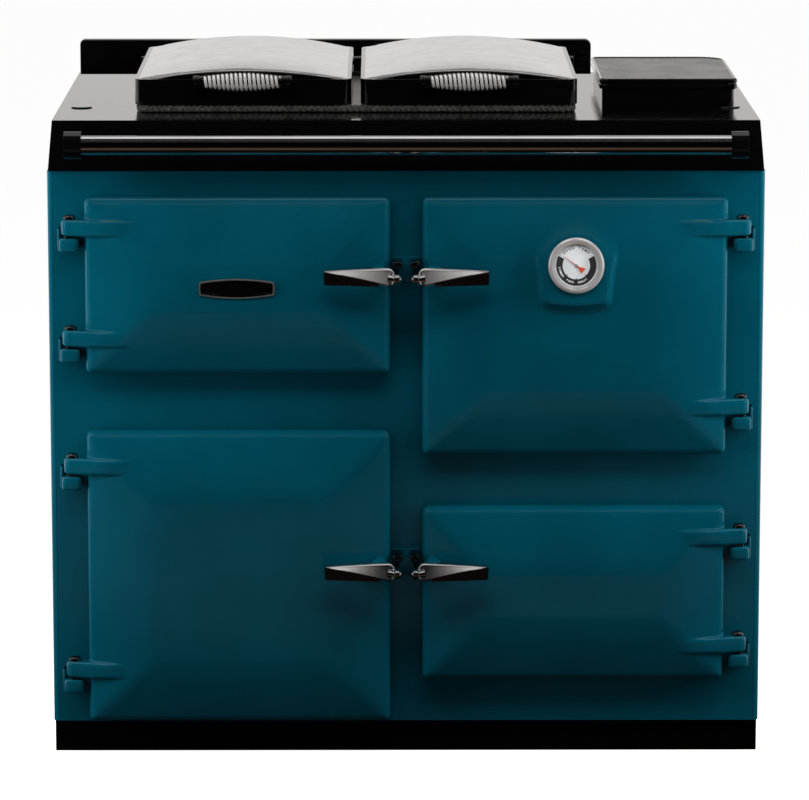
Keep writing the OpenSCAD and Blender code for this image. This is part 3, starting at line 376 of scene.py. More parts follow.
# colour, second colour, roughness, bumps, and what else shader() takes
LOOKS = {
    "teal_enamel": (
        *TEAL, (0.10, 0.17), [(26, 0.03), (220, 0.006)],
        dict(speck=(0.35, 620, (0.004, 0.075, 0.105)), spec=0.45),
    ),
    "teal_enamel_iron": (
        *TEAL, (0.11, 0.20), [(34, 0.045), (190, 0.010)],
        # painted highlight: a lighter teal on the castings' thin edges, in patches
        dict(speck=(0.4, 520, (0.004, 0.080, 0.110)), worn=(0.2, (0.002, 0.085, 0.120)), spec=0.45),
    ),
    "black_enamel": (
        BLACK, (0.0013, 0.0012, 0.0014), (0.035, 0.05), [(30, 0.015), (240, 0.003)],
        dict(speck=(0.5, 640, (0.004, 0.004, 0.004)), spec=0.5),
    ),
    "black_enamel_iron": (
        *BLACK_IRON, (0.04, 0.055), [(34, 0.02), (210, 0.004)],
        dict(speck=(0.5, 560, (0.005, 0.005, 0.005)), spec=0.5),
    ),
    "black_top": (
        *BLACK_IRON, (0.09, 0.12), [(30, 0.010), (210, 0.003)],
        dict(speck=(0.5, 560, (0.005, 0.005, 0.005)), spec=0.5),
    ),
    "machined_iron": (
        (0.23, 0.225, 0.22), (0.16, 0.155, 0.15), (0.28, 0.45), [(260, 0.02, (1, 14, 1))],
        dict(metallic=1, stretch=(1, 9, 1)),
    ),
    "oven_iron": (
        (0.055, 0.053, 0.052), (0.035, 0.034, 0.034), (0.55, 0.75), [(320, 0.12)],
        dict(metallic=0.3),
    ),
    "burner_casting": (
        (0.36, 0.36, 0.37), (0.28, 0.28, 0.29), (0.40, 0.55), [(420, 0.05)],
        dict(metallic=0.9),
    ),
    "plain_steel": (
        (0.45, 0.45, 0.46), (0.38, 0.385, 0.39), (0.30, 0.44), [(180, 0.012, (1, 1, 12))],
        dict(metallic=0.9, stretch=(1, 1, 6)),
    ),
    "polished_steel": (
        (0.53, 0.515, 0.51), (0.50, 0.485, 0.48), (0.14, 0.20), [(14, 0.006), (420, 0.001)],
        dict(metallic=1, haze=40),
    ),
    "chrome": (
        (0.66, 0.65, 0.65), (0.58, 0.57, 0.575), (0.04, 0.11), [(40, 0.012)],
        dict(metallic=1, haze=60),
    ),
    "brass": (
        (0.60, 0.44, 0.19), (0.50, 0.35, 0.14), (0.22, 0.36), [(300, 0.01)],
        dict(metallic=1),
    ),
    "insulated_panel": (
        (0.46, 0.46, 0.45), (0.36, 0.36, 0.355), (0.30, 0.46), [(26, 0.2), (300, 0.01)],
        dict(metallic=0.7),
    ),
    "mineral_wool": (
        (0.50, 0.42, 0.24), (0.38, 0.31, 0.17), (0.85, 0.97), [(90, 1.6), (520, 0.5)],
        dict(mottle=40),
    ),
    "rope": (
        (0.040, 0.039, 0.038), (0.018, 0.0175, 0.017), (0.75, 0.92), [(1500, 0.25)],
        dict(mottle=120, sheen=0.15),
    ),
    "red_paint": ((0.72, 0.09, 0.025), (0.62, 0.07, 0.02), (0.35, 0.5), [(900, 0.01)], {}),
    "red_plastic": ((0.55, 0.02, 0.015), (0.46, 0.015, 0.012), (0.2, 0.3), [(500, 0.01)], {}),
    "black_plastic": (
        (0.018, 0.018, 0.018), (0.012, 0.012, 0.012), (0.32, 0.44), [(700, 0.02)], {},
    ),
    "dial_face": (
        (0.80, 0.83, 0.85), (0.76, 0.79, 0.81), (0.35, 0.45), [(700, 0.004)],
        dict(mottle=60),
    ),
    "dial_ink": ((0.022, 0.023, 0.026), (0.030, 0.031, 0.034), (0.4, 0.5), [(900, 0.004)], {}),
    "bezel": (
        (0.86, 0.84, 0.83), (0.80, 0.78, 0.77), (0.06, 0.11), [(300, 0.006)],
        dict(metallic=0.72),
    ),
    "dark_chrome": (
        (0.16, 0.155, 0.15), (0.10, 0.097, 0.095), (0.16, 0.28), [(300, 0.01)],
        dict(metallic=1),
    ),
    "plate_rim": (
        (0.085, 0.083, 0.080), (0.060, 0.058, 0.056), (0.16, 0.24), [(300, 0.01)],
        dict(metallic=0.25),
    ),
    "glass": ((0.02, 0.02, 0.02), (0.03, 0.03, 0.03), (0.02, 0.05), [(60, 0.003)], dict(alpha=0.05)),
    "cover_panel": (
        (0.030, 0.029, 0.029), (0.026, 0.025, 0.025), (0.22, 0.28), [(500, 0.006)],
        dict(mottle=30, spec=0.12),
    ),
}
FINISHES = {name: shader(name, *look, **more) for name, (*look, more) in LOOKS.items()}


def give(piece, body, finish, *replaced, slot=None):
    """Finish, body and replaced CAD nodes of a new piece; the slot argument is not used."""
    piece.data.materials.clear()
    piece.data.materials.append(FINISHES[finish])
    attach(piece, body)
    if replaced:
        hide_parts(*replaced)


# ---- doors

# distances from an edge at which a door's surface turns
EDGE_STEPS = [0, 0.5, 1.1, 1.9, 2.9, 4.1, 5.5, 7.1, 9, 11.5, 15, 19, 24, 30, 37, 44, 51, 58, 64]
EDGE_STEPS += [69, 73, 76, 79, 81.5, 83.5, 85.5, 88, 91, 95, 100, 107]
# the same, from the middle line of a hinge arm
ARM_STEPS = [0, 4, 8, 9.2, 10.2, 10.9, 11.4, 11.7, 12.4, 13.4, 14.6, 16.2, 18.5]
MIDDLE_STEP = 13
PAD_STEP = 2.4


def grid_lines(length, extra):
    """Grid positions across a door, close together where its surface turns."""
    places = [p for p in EDGE_STEPS if p < length / 2]
    places += [length - p for p in places]
    start, end = EDGE_STEPS[-1], length - EDGE_STEPS[-1]
    if end > start:
        count = max(2, int((end - start) / MIDDLE_STEP))
        places += [start + (end - start) * i / count for i in range(1, count)]
    places = sorted(places + [p for p in extra if 0.5 < p < length - 0.5])
    kept = [places[0]]
    for p in places[1:]:
        if p - kept[-1] > 0.34:
            kept.append(p)
    kept[-1] = length
    return np.array(kept)


def arm_surface(u, v, arms):
    """Height of the hinge arms that run onto the door."""
    half = LUG_H / 2
    along = np.interp(u, [-20, 26, 48, 92, 105], [34, 44.2, 44.4, 33, -40])
    best = np.full(u.shape, -50.0)
    for middle in arms:
        off = np.abs(v - middle)
        into = np.clip(off - (half - ARM_ROUND), 0, ARM_ROUND)
        flank = 3 - 1.9 * np.clip(u / 70, 0, 1)
        drop = (ARM_ROUND - np.sqrt(ARM_ROUND**2 - into**2)) + np.clip(off - half, 0, None) * flank
        best = np.maximum(best, along - drop)
    return best


def gauge_pad(x, z):
    """Height of the wedge that carries the thermometer on the main oven door."""
    half_w, foot_z, bowl_r, rounding = 44, 57, 42, 5
    dx = x - GAUGE.x
    dz = z - GAUGE.z
    face = PLATE_Y - GAUGE.y + math.tan(GAUGE_TILT) * -dz
    flank = half_w + np.clip(dz + 50, -10, 70) * 0.17 - np.abs(dx)
    foot = dz + foot_z - 4.5 * (np.abs(dx) / half_w) ** 2
    inside = soft_min(flank, foot, 7)
    into = np.clip(rounding - inside, 0, rounding)
    fade = np.clip((dz + 30) / 60, 0, 1)
    steep = 1.7 - 1.45 * fade * fade * (3 - 2 * fade)
    drop = (rounding - np.sqrt(rounding**2 - into**2)) * 0.5 * steep
    drop = drop + np.clip(-inside, 0, None) * steep
    above = np.clip(dz - 8, 0, None) * 0.12
    return face - drop - above - np.clip(np.hypot(dx, dz) - bowl_r, 0, None) * 0.25 * fade


def fold_corners(u, v, height):
    """A door grid with round corners, its distances to the sides, and to the nearest edge."""
    du = np.minimum(u, DOOR_W - u)
    dv = np.minimum(v, height - v)
    corner = (du < DOOR_R) & (dv < DOOR_R)
    au = np.where(corner, DOOR_R - du, 0.0)
    av = np.where(corner, DOOR_R - dv, 0.0)
    reach = np.maximum(au, av)
    factor = reach / np.where(corner, np.hypot(au, av), 1.0)
    nu = DOOR_R - au * factor
    nv = DOOR_R - av * factor
    u = np.where(corner, np.where(u < DOOR_W / 2, nu, DOOR_W - nu), u)
    v = np.where(corner, np.where(v < height / 2, nv, height - nv), v)
    du = np.where(corner, nu, du)
    dv = np.where(corner, nv, dv)
    return u, v, du, dv, np.where(corner, DOOR_R - reach, np.minimum(du, dv))


def door(name, side, z0, height, lugs, row):
    """A crowned casting with its hinge arms, its boss for the lever and its hollow back."""
    padded = name == "main_oven_door"
    arms = [lug + LUG_H / 2 for lug in lugs]
    extra_u = [50, 54, 60, 66]
    extra_v = [a + s * sign for a in arms for s in ARM_STEPS for sign in (-1, 1)]
    if padded:
        extra_u += [HINGE_X - GAUGE.x + PAD_STEP * i for i in range(-28, 29)]
        extra_v += [GAUGE.z - z0 + PAD_STEP * i for i in range(-28, 27)]
    u, v = np.meshgrid(grid_lines(DOOR_W, extra_u), grid_lines(height, extra_v))
    u, v, du, dv, edge = fold_corners(u, v, height)
    slope = soft_min(du, dv, np.clip(0.35 * (du + dv), 0.05, 13))
    left = np.clip(1 - slope / CROWN_REACH, 0, 1)
    surface = RIM_H + CROWN_RISE * (1 - left**1.55)
    into = np.clip(RIM_ROUND - edge, 0, RIM_ROUND)
    surface = surface - (RIM_ROUND - np.sqrt(RIM_ROUND**2 - into**2))
    surface = soft_max(surface, arm_surface(u, v, arms), 5)
    if padded:
        surface = soft_max(surface, gauge_pad(HINGE_X - u, v + z0), 3)
    rows, cols = u.shape
    verts = []
    for r in range(rows):
        for c in range(cols):
            verts.append((side * (HINGE_X - u[r, c]), PLATE_Y - surface[r, c], z0 + v[r, c]))
    faces = []
    for i in range((rows - 1) * cols):
        if (i + 1) % cols:
            faces.append((i, i + 1, i + cols + 1, i + cols))
    last = rows * cols - 1
    loop = list(range(cols - 1))
    loop += range(cols - 1, last, cols)
    loop += range(last, last - cols + 1, -1)
    loop += range(last - cols + 1, 0, -cols)
    outline = []
    for i in loop:
        r, c = divmod(i, cols)
        x, z = u[r, c], v[r, c]
        core_x = min(max(x, DOOR_R), DOOR_W - DOOR_R)
        core_z = min(max(z, DOOR_R), height - DOOR_R)
        outline.append((x, z, *Vector((x - core_x, z - core_z)).normalized()))
    previous = loop
    back = [(0, BACK_H + 1.2), (0.8, BACK_H), (POCKET_IN, BACK_H), (POCKET_IN, POCKET_H)]
    for inset, h in back:
        ring = list(range(len(verts), len(verts) + len(outline)))
        for x, z, nx, nz in outline:
            verts.append((side * (HINGE_X - x + nx * inset), PLATE_Y - h, z0 + z - nz * inset))
        for j in range(len(ring)):
            k = (j + 1) % len(ring)
            faces.append((previous[j], previous[k], ring[k], ring[j]))
        previous = ring
    faces.append(tuple(previous))
    shell = Shell().add(verts, faces)
    for lug in lugs:
        shell.add(*lug_shape(side, z0 + lug))
    boss = [(0, -24), (14, -24), (14, -7.4), (13.4, -6.2), (12.8, -4.6), (12.3, -2), (BOSS_R, 1)]
    boss += [(BOSS_R, 30.2), (11.6, 31.2), (10.6, 31.7), (0, 31.7)]
    shell.add(*lathe(boss, (side * LATCH_X, PLATE_Y - 40, LATCH_Z[row]), (0, -1, 0), 64))
    give(shell.object(name + "_casting", 40), name + "_body", "teal_enamel_iron", name)


def lug_shape(side, z):
    """The arm's outer end, which carries the hinge pin."""
    outline = [(9, -40.4), (-14, -35.32), (-17, -34.66)]
    for i in range(17):
        turn = math.radians(90 + 180 * i / 16)
        outline.append((-20 + BOSS_R * math.cos(turn), -22 - BOSS_R * math.sin(turn)))
    outline += [(-10, -16), (0, -22), (9, -22.8)]
    normals = []
    for a, b in zip([outline[-1]] + outline, outline[1:] + outline[:1]):
        normals.append(Vector((b[1] - a[1], a[0] - b[0])).normalized())
    if normals[8].x > 0:
        normals = [-n for n in normals]
    rounding = [(0, 4.6), (0.35, 3), (1.3, 1.4), (2.8, 0.4), (4.8, 0)]
    rings = []
    for h, inset in rounding + [(LUG_H - h, inset) for h, inset in reversed(rounding)]:
        ring = []
        for (x, y), n in zip(outline, normals):
            keep = 0 if x > 8 and y > -30 else inset
            ring.append((side * (HINGE_X - x + n.x * keep), PLATE_Y + y - n.y * keep, z + h))
        rings.append(ring)
    return loft(rings)


for row in DOORS:
    door(*row)

# ---- levers


def lever(name, side, z):
    """A tapered bar on a ball and tongue, its ridge running from the tip's top to the root's foot."""
    shell = Shell()
    # distance from the middle line, half height, and how full the section is
    stations = [(114.9, 8.6, 0.5), (114.4, 10, 0.8), (113.4, 10.8, 0.97), (111, 11, 1)]
    stations += [(s, 11 + (111 - s) * 1.6 / 80, 1) for s in (100, 88, 76, 64, 52, 42, 34, 27)]
    stations += [(23, 12.2, 1), (20.5, 11.2, 1), (18.7, 9.6, 1), (17.4, 7.4, 0.98), (16.7, 5, 0.94)]
    rings = []
    for s, half, full in stations:
        t = min(1, max(0, (s - 20) / 95))
        front = LEVER_FRONT + 1.4 * t + 5 * (1 - full)
        ridge = half * (0.88 * t - 0.84 * (1 - t))
        crest = 4.6 - 1.4 * t
        lip = front + (2.6 + 15 * (1 - t)) * max(0.15, (half - crest - ridge) / (half - ridge))
        brow = max(half - crest, ridge + 0.6)
        back = max(front + 10.6, lip + 6.2)
        low = front + 4.2 + 3.6 * t
        down = half + ridge
        top = half - brow
        outline = [(back, half - 1.6), (back - 0.7, half - 0.4), (lip + 4.6, half)]
        outline += [(lip + 3, half - 0.10 * top), (lip + 1.5, half - 0.38 * top)]
        outline += [(lip + 0.5, half - 0.70 * top), (lip - 0.1, brow - 0.2)]
        outline += [(front + 0.35, ridge + min(0.9, (brow - ridge) * 0.3)), (front, ridge)]
        outline += [(front + 0.25, ridge - min(0.9, down * 0.3))]
        outline += [(low - 0.7, -half + min(1.6, down * 0.4)), (low + 0.5, -half + 0.3)]
        outline += [(low + 1.8, -half), (back - 1.4, -half + 0.3), (back, -half + 1.6)]
        rings.append([(side * s, y, z + h) for y, h in outline])
    shell.add(*loft(rings))
    neck = [(side * 26, -353, z - 2), (side * 19, -353, z - 3), (side * 14, -352.4, z - 3.4)]
    shell.add(*tube(neck, [7, 6, 5.2], 20))
    turns = [math.radians(-90 + 180 * i / 16) for i in range(1, 16)]
    ball = [(7.4 * math.cos(turn), 7.4 * math.sin(turn)) for turn in turns]
    shell.add(*lathe([(0, -7.4), *ball, (0, 7.4)], (side * 12.9, -352, z - 3), (0, 0, 1), 32))
    hub = [(0, 342.1), (8.6, 342.1), (9, 342.6), (9, 347), (0, 347)]
    shell.add(*lathe(hub, (side * LATCH_X, 0, z), (0, -1, 0), 40))
    tongue = []
    for y, inset in ((-350, 0.6), (-345, 0), (-286, 0), (-284.8, 0.6), (-284, 1.6)):
        ring = round_rect(9 + inset, 17 - inset, -4 + inset, 4 - inset, 1.6, 4)
        tongue.append([(side * x, y, z + h) for x, h, _, _ in ring])
    shell.add(*loft(tongue))
    spindle = [(0, 0), (5.6, 0), (6, 0.5), (6, 46), (0, 46)]
    shell.add(*lathe(spindle, (side * LATCH_X, -300, z), (0, -1, 0), 32))
    give(shell.object(name + "_handle_lever", 32), name[:-5] + "_lever", "chrome", name + "_handle")


for name, side, *_, row in DOORS:
    lever(name, side, LATCH_Z[row])

# ---- catches, pins, plugs, brackets


def catches():
    base, tabs = Shell(), Shell()
    bump = [(0, -0.3), (2.4, -0.3), (2.4, 0.5), (2, 1), (1.3, 1.3), (0, 1.4)]
    for z in LATCH_Z.values():
        base.add(*rounded_block(-20, 20, -274, PLATE_Y, z - 18, z + 18, 1.5, 1))
        for x0, x1 in ((-19, -5), (5, 19)):
            tabs.add(*rounded_block(x0, x1, -314, -272, z + 7.6, z + 15.6, 2.5, 1.6))
        tabs.add(*lathe(bump, (16, -304, z + 15.3), (0, 0, 1), 24))
    give(base.object("catch_bases"), "cooker_body", "teal_enamel_iron", "door_catches")
    give(tabs.object("catch_tabs"), "cooker_body", "dark_chrome", slot="chrome")


def hinge_places():
    """Side and foot of every lug."""
    return [(side, z0 + lug) for _, side, z0, _, lugs, _ in DOORS for lug in lugs]


def pins():
    profile = [(0, -22.3), (4.6, -22.3), (5, -21.8), (5, -3.3), (7.6, -3.3), (8, -2.9), (8, -0.7)]
    profile += [(7.6, -0.3), (5, -0.3)]
    head = [(5, 0.3), (8.1, 0.3), (8.5, 0.8), (8.5, 3), (8, 4), (6.4, 5.3), (4.5, 6), (0, 6.2)]
    profile += [(r, LUG_H + h) for r, h in head]
    shell = Shell()
    for side, z in hinge_places():
        shell.add(*lathe(profile, (side * PIN_X, PIN_Y, z), (0, 0, 1), 40))
    give(shell.object("hinge_pin_set"), "cooker_body", "dark_chrome", "hinge_pins", slot="chrome")


def plugs():
    """Low caps that close the two unused holes of the top plate."""
    cap_r = 15
    low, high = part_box("blanking_plugs")
    x, y = high[0] / MM - cap_r, (low[1] + high[1]) / 2 / MM
    foot = low[2] / MM - HOB_Z
    profile = [(0, foot), (7.8, foot), (7.8, 0.05), (14.4, 0.05), (14.9, 0.4), (cap_r, 0.9)]
    profile += [(14.7, 1.3), (14, 1.6), (10, 1.75), (5, 1.85), (0, 1.9)]
    shell = Shell()
    for side in (-1, 1):
        shell.add(*lathe(profile, (side * x, y, HOB_Z), (0, 0, 1), 48))
    give(shell.object("plug_caps"), "cooker_body", "black_top", "blanking_plugs", slot="black_enamel")


def hinge_brackets():
    """Fixed halves of the hinges: a rounded block under each lug with a small ear outside it."""
    shell = Shell()
    for side, z in hinge_places():
        top = z - 3.3
        x0, x1 = sorted((side * (PIN_X - 13), side * (PIN_X + 14.6)))
        shell.add(*rounded_block(x0, x1, PIN_Y - 11.6, PLATE_Y, top - 19, top, 5.5, 3.2))
        x0, x1 = sorted((side * (PIN_X + 12.9), side * (PIN_X + 17.3)))
        shell.add(*rounded_block(x0, x1, PIN_Y + 1, PLATE_Y, top - 19, top + 13, 2, 1.6))
    give(shell.object("hinge_bracket_set"), "cooker_body", "teal_enamel_iron", "hinge_brackets")


catches()
pins()
plugs()
hinge_brackets()

# ---- braided ropes


def even(points, spacing):
    """Points at equal steps along a closed line."""
    line = np.array(points + [points[0]], float)
    gaps = np.linalg.norm(np.diff(line, axis=0), axis=1)
    far = np.concatenate([[0], np.cumsum(gaps)])
    count = int(far[-1] / spacing)
    places = np.linspace(0, far[-1], count, endpoint=False)
    return np.stack([np.interp(places, far, line[:, i]) for i in range(line.shape[1])], axis=1)


def rope_line(x0, x1, y0, y1, r, spacing):
    """Even steps round a rectangle."""
    return even([(x, y) for x, y, _, _ in round_rect(x0, x1, y0, y1, r, 10, 20)], spacing)


def braid(shell, path, width):
    """Adds three strands plaited round a closed path."""
    points, crosses = frames_along(path, True)
    count = len(points)
    total = sum((points[i] - points[i - 1]).length for i in range(count))
    plaits = max(8, round(total / (width * 2.4)))
    strand = width * 0.285
    reach = width / 2 - strand
    for k in range(3):
        way = []
        for i, (p, (a, b)) in enumerate(zip(points, crosses)):
            turn = 2 * math.pi * (plaits * i / count + k / 3)
            way.append(p + reach * (math.sin(turn) * a + math.sin(2 * turn) * b * 0.98))
        shell.add(*tube(way, strand, 7, closed=True))


def ropes():
    inset, lid_rope_z = 31.5, 910.6
    shell = Shell()
    flat = rope_line(-375.2, 235.2, -173.7, 258.7, 15, 2.6)
    braid(shell, [(x, y, lid_rope_z) for x, y in flat], 10.4)
    for _, side, z0, height, _, _ in DOORS:
        x0, x1 = sorted((side * (DOOR_X + inset), side * (HINGE_X - inset)))
        flat = rope_line(x0, x1, z0 + inset, z0 + height - inset, 16, 3.2)
        braid(shell, [(x, PLATE_Y, z) for x, z in flat], 8.8)
    give(shell.object("rope_seals_braided", 60), "cooker_body", "rope", "rope_seals")


ropes()

# ---- thermometer

GAUGE_OUT = Vector((0, -math.cos(GAUGE_TILT), math.sin(GAUGE_TILT)))
GAUGE_UP = Vector((0, math.sin(GAUGE_TILT), math.cos(GAUGE_TILT)))
GAUGE_BODY = "main_oven_door_body"
HAND_TURN = math.radians(143)
SCALE_Z = (2.3, 2.55)  # foot and face of the printed band


def on_dial(x, up, out):
    return GAUGE + Vector((1, 0, 0)) * x + GAUGE_UP * up + GAUGE_OUT * out


def dial_sector(r0, r1, start, end, steps):
    """A flat ring piece on the dial, between two angles."""
    z0, z1 = SCALE_Z
    rings = []
    for i in range(steps + 1):
        turn = math.radians(start + (end - start) * i / steps)
        c, s = math.cos(turn), math.sin(turn)
        rings.append([on_dial(c * r, s * r, z) for r, z in ((r0, z0), (r0, z1), (r1, z1), (r1, z0))])
    return loft(rings)


def thermometer():
    profile = [(0, -87), (3.6, -87), (4, -86.4), (4, -22), (4, 0), (38.6, 0), (39, 0.5), (39, 3.6)]
    profile += [(38.8, 5.2), (38.2, 6.8), (37.2, 8), (35.9, 8.8), (34.6, 9), (33.4, 8.7), (32.2, 8)]
    profile += [(31.2, 7.6), (30.6, 7.4), (30.2, 7.2), (30, 6.6), (30, 2), (0, 2)]
    case = Shell().add(*lathe(profile, GAUGE, GAUGE_OUT, 128))
    give(case.object("thermometer_bezel"), GAUGE_BODY, "bezel", "thermometer_case", slot="chrome")
    face = [(0, 2), (29.8, 2), (29.8, 2.25), (29.5, 2.4), (0, 2.4)]
    dial = Shell().add(*lathe(face, GAUGE, GAUGE_OUT, 96))
    give(dial.object("thermometer_dial"), GAUGE_BODY, "dial_face", slot="chrome")
    ink = Shell().add(*dial_sector(19, 28, 151, 389, 96))
    for turn in (225, 270, 315):
        ink.add(*dial_sector(17, 19.4, turn - 1.6, turn + 1.6, 2))
    give(ink.object("thermometer_scale"), GAUGE_BODY, "dial_ink", slot="black_enamel")
    c, s = math.cos(HAND_TURN), math.sin(HAND_TURN)
    outline = [(22.5, 0.15), (10, 0.42), (2, 0.55), (0, 1.6), (-2, 0.9), (-4.6, 1.3), (-12.5, 4.4)]
    outline += [(a, -b) for a, b in reversed(outline)]
    rings = []
    for h in (3.05, 3.2, 3.5, 3.6):
        rings.append([on_dial(a * c - b * s, a * s + b * c, h) for a, b in outline])
    hand = Shell().add(*loft(rings))
    give(hand.object("thermometer_hand"), "pointer", "red_paint", "thermometer_pointer")
    cap = [(0, 2.9), (2.1, 2.9), (2.3, 3.3), (2.2, 3.8), (1.6, 4.1), (0, 4.2)]
    hub = Shell().add(*lathe(cap, GAUGE, GAUGE_OUT, 32))
    give(hub.object("thermometer_hub"), "pointer", "bezel", slot="chrome")


def letters():
    """The dial's plain words, letter by letter round its middle, as one thin mesh for each colour."""
    work = bmesh.new()

    def word(text, radius, middle, step, size, out, way):
        """way is 1 where the letters' feet point to the middle of the dial, and -1 outwards."""
        for i, letter in enumerate(text):
            turn = middle - way * (i - (len(text) - 1) / 2) * step
            curve = bpy.data.curves.new("letter", "FONT")
            curve.body = letter
            curve.size = size
            curve.align_x = "CENTER"
            curve.align_y = "CENTER"
            curve.extrude = 0.06
            curve.offset = 0.15
            holder = placed("letter", curve)
            graph = bpy.context.evaluated_depsgraph_get()
            mesh = bpy.data.meshes.new_from_object(holder.evaluated_get(graph))
            lean = math.radians(turn - way * 90)
            c, s = math.cos(lean), math.sin(lean)
            a = math.radians(turn)
            for v in mesh.vertices:
                x, y, z = v.co
                across = radius * math.cos(a) + c * x - s * y
                v.co = on_dial(across, radius * math.sin(a) + s * x + c * y, out + z) * MM
            work.from_mesh(mesh)
            bpy.data.objects.remove(holder)
            bpy.data.curves.remove(curve)
            bpy.data.meshes.remove(mesh)

    def piece(name, finish, slot):
        mesh = bpy.data.meshes.new(name)
        work.to_mesh(mesh)
        work.clear()
        give(placed(name, mesh), GAUGE_BODY, finish, slot=slot)

    for text, middle in (("OVEN", 117), ("TEMP", 63)):
        word(text, 24.2, middle, 10.4, 5, 2.46, 1)
    piece("thermometer_words_dark", "dial_ink", "black_enamel")
    for text, middle, step in (("SIMMER", 203, 6.4), ("BAKE", 248, 7), ("ROAST", 292, 6.8)):
        word(text, 23.6, middle, step, 3.7, 2.61, -1)
    piece("thermometer_words_pale", "dial_face", "chrome")
    work.free()


thermometer()
letters()

# ---- plaque


def barrel(inset):
    """Outline of the oval plate: flat ends, bowed long sides."""
    half_w = 52.5 - inset
    half_h = 14 - inset
    end_h = 9.5 - inset
    out = []
    for i in range(25):
        t = -1 + 2 * i / 24
        out.append((half_w * t * 0.985, -(end_h + (half_h - end_h) * (1 - t * t))))
    for i in range(1, 8):
        t = -1 + 2 * i / 8
        out.append((half_w * (0.985 + 0.015 * (1 - t * t)), end_h * t))
    return out + [(-x, -y) for x, y in out]


def plaque():
    x, z = -235, 677

    def rings(steps):
        return [[(x + a, y, z + b) for a, b in barrel(inset)] for inset, y in steps]

    rim = [(0, -322), (0, -324), (0.5, -324.8), (1.2, -325), (1.9, -324.8), (2.2, -324.3)]
    rim = rings(rim + [(2.2, -322.6)])
    border = Shell().add(*loft(rim, caps=False)).add(*loft([rim[0], rim[-1]], caps=False))
    give(border.object("door_plate_rim"), "firebox_door_body", "plate_rim", "door_plaque", slot="chrome")
    field = Shell().add(*loft(rings([(2.2, -322), (2.2, -323.6), (2.8, -324.1), (6, -324.3)])))
    give(field.object("door_plate_field"), "firebox_door_body", "black_enamel")


plaque()

# ---- lids


def dome(side, mid_x):
    """The polished skin: an arch over the lid, its edge rolled down to the frame."""
    half, radius, top, y0, y1 = 146.5, 640, 969.2, -174, 259
    mid_y, reach = (y0 + y1) / 2, (y1 - y0) / 2
    foot = math.sqrt(radius**2 - (half - 1) ** 2)

    def arch(x, y, least, drop=0):
        """A point of the skin; its crown falls a little to the front."""
        fall = max(0, (mid_y - y) / reach - 0.35) / 0.65
        bow = (math.sqrt(radius**2 - x * x) - foot) / (radius - foot)
        z = LID_TOP + (top - LID_TOP - 4.5 * fall**2.2) * bow - drop
        return mid_x + x, y, max(LID_TOP + least, z)

    rings = []
    for inset, drop in ((0, 6.5), (0.25, 3.9), (0.9, 2.1), (2, 0.9), (3.6, 0.2), (5.6, 0)):
        plan = round_rect(-half + inset, half - inset, y0 + inset, y1 - inset, 7, 6, 9)
        rings.append([arch(x, y, 0.15 * len(rings), drop) for x, y, _, _ in plan])
    verts, faces = loft([[(x, y, LID_TOP - 1) for x, y, _ in rings[0]]] + rings, caps=False)
    # the skin inside the roll, in rings of as many points as the roll's last one
    inner = [(x - mid_x, y - mid_y) for x, y, _ in rings[-1]]
    count = len(inner)
    start = len(verts) - count
    crown = [rings[-1]]
    for scale in (0.95, 0.9, 0.84, 0.77, 0.69, 0.6, 0.5, 0.4, 0.3, 0.2, 0.1):
        crown.append([arch(x * scale, mid_y + y * scale, 0.9) for x, y in inner])
    crown_verts, crown_faces = loft(crown, caps=False)
    verts += crown_verts[count:]
    faces += [tuple(i + start for i in f) for f in crown_faces]
    middle = len(verts)
    verts.append((mid_x, mid_y, top))
    for j in range(count):
        faces.append((middle - count + j, middle - count + (j + 1) % count, middle))
    faces.append(tuple(range(count)))
    skin = Shell().add(verts, faces).object("lid_skin_" + side, 50)
    give(skin, side + "_lid", "polished_steel", "lid_dome_" + side)


def coil(side, mid_x):
    """The wound wire grip, round wire on a waisted rod."""
    turns, half, tail, wire_r, waist_r, swell = 17, 52.6, 1.4, 2.2, 6.3, 4.5
    count = turns * 28
    path = [(mid_x - half - tail + 0.35 * i, GRIP_Y, GRIP_Z + waist_r) for i in range(4)]
    for i in range(count + 1):
        t = i / count
        x = -half + 2 * half * t
        r = waist_r + swell * math.cos(math.radians(90 * x / half))
        turn = 2 * math.pi * turns * t
        path.append((mid_x + x, GRIP_Y - r * math.sin(turn), GRIP_Z + r * math.cos(turn)))
    path += [(mid_x + half + 0.35 * i, GRIP_Y, GRIP_Z + waist_r) for i in range(1, 5)]
    wire = Shell().add(*tube(path, wire_r, 12)).object("grip_coil_" + side)
    give(wire, side + "_lid", "bezel", "lid_coil_" + side, slot="chrome")


def grip(side, mid_x):
    """The rod between two brackets, with turned ferrules."""
    rod = [(0, -66), (3.4, -66), (3.4, 66), (0, 66)]
    ferrule = [(0, 54.2), (7.6, 54.2), (8.3, 54.6), (8.5, 55.4), (8.5, 57.4), (7.7, 58), (7.4, 58.6)]
    ferrule += [(7.6, 59.4), (8.5, 60), (8.5, 61.6), (0, 61.6)]
    eye = [(0, 61), (7.6, 61), (8.6, 61.5), (9, 62.4), (9, 67.6), (8.6, 68.5), (7.6, 69), (0, 69)]
    # depth, foot and top of the bracket's sections
    sections = [(-206, 942.8, 958.6), (-200, 940, 957), (-192, 937.6, 952)]
    sections += [(-184, 936.4, 949.6), (-179.9, 936.2, 949.4)]
    origin = (mid_x, GRIP_Y, GRIP_Z)
    shell = Shell().add(*lathe(rod, origin, (1, 0, 0), 32))
    for sign in (-1, 1):
        shell.add(*lathe(ferrule, origin, (sign, 0, 0), 40))
        shell.add(*lathe(eye, origin, (sign, 0, 0), 40))
        x0, x1 = sorted((mid_x + sign * 61.4, mid_x + sign * 68.6))
        stem = []
        for y, low, high in sections:
            stem.append([(x, y, z) for x, z, _, _ in round_rect(x0, x1, low, high, 2.4, 4)])
        shell.add(*loft(stem))
    piece = shell.object("grip_frame_" + side)
    give(piece, side + "_lid", "black_enamel", "lid_grip_" + side, slot="chrome")


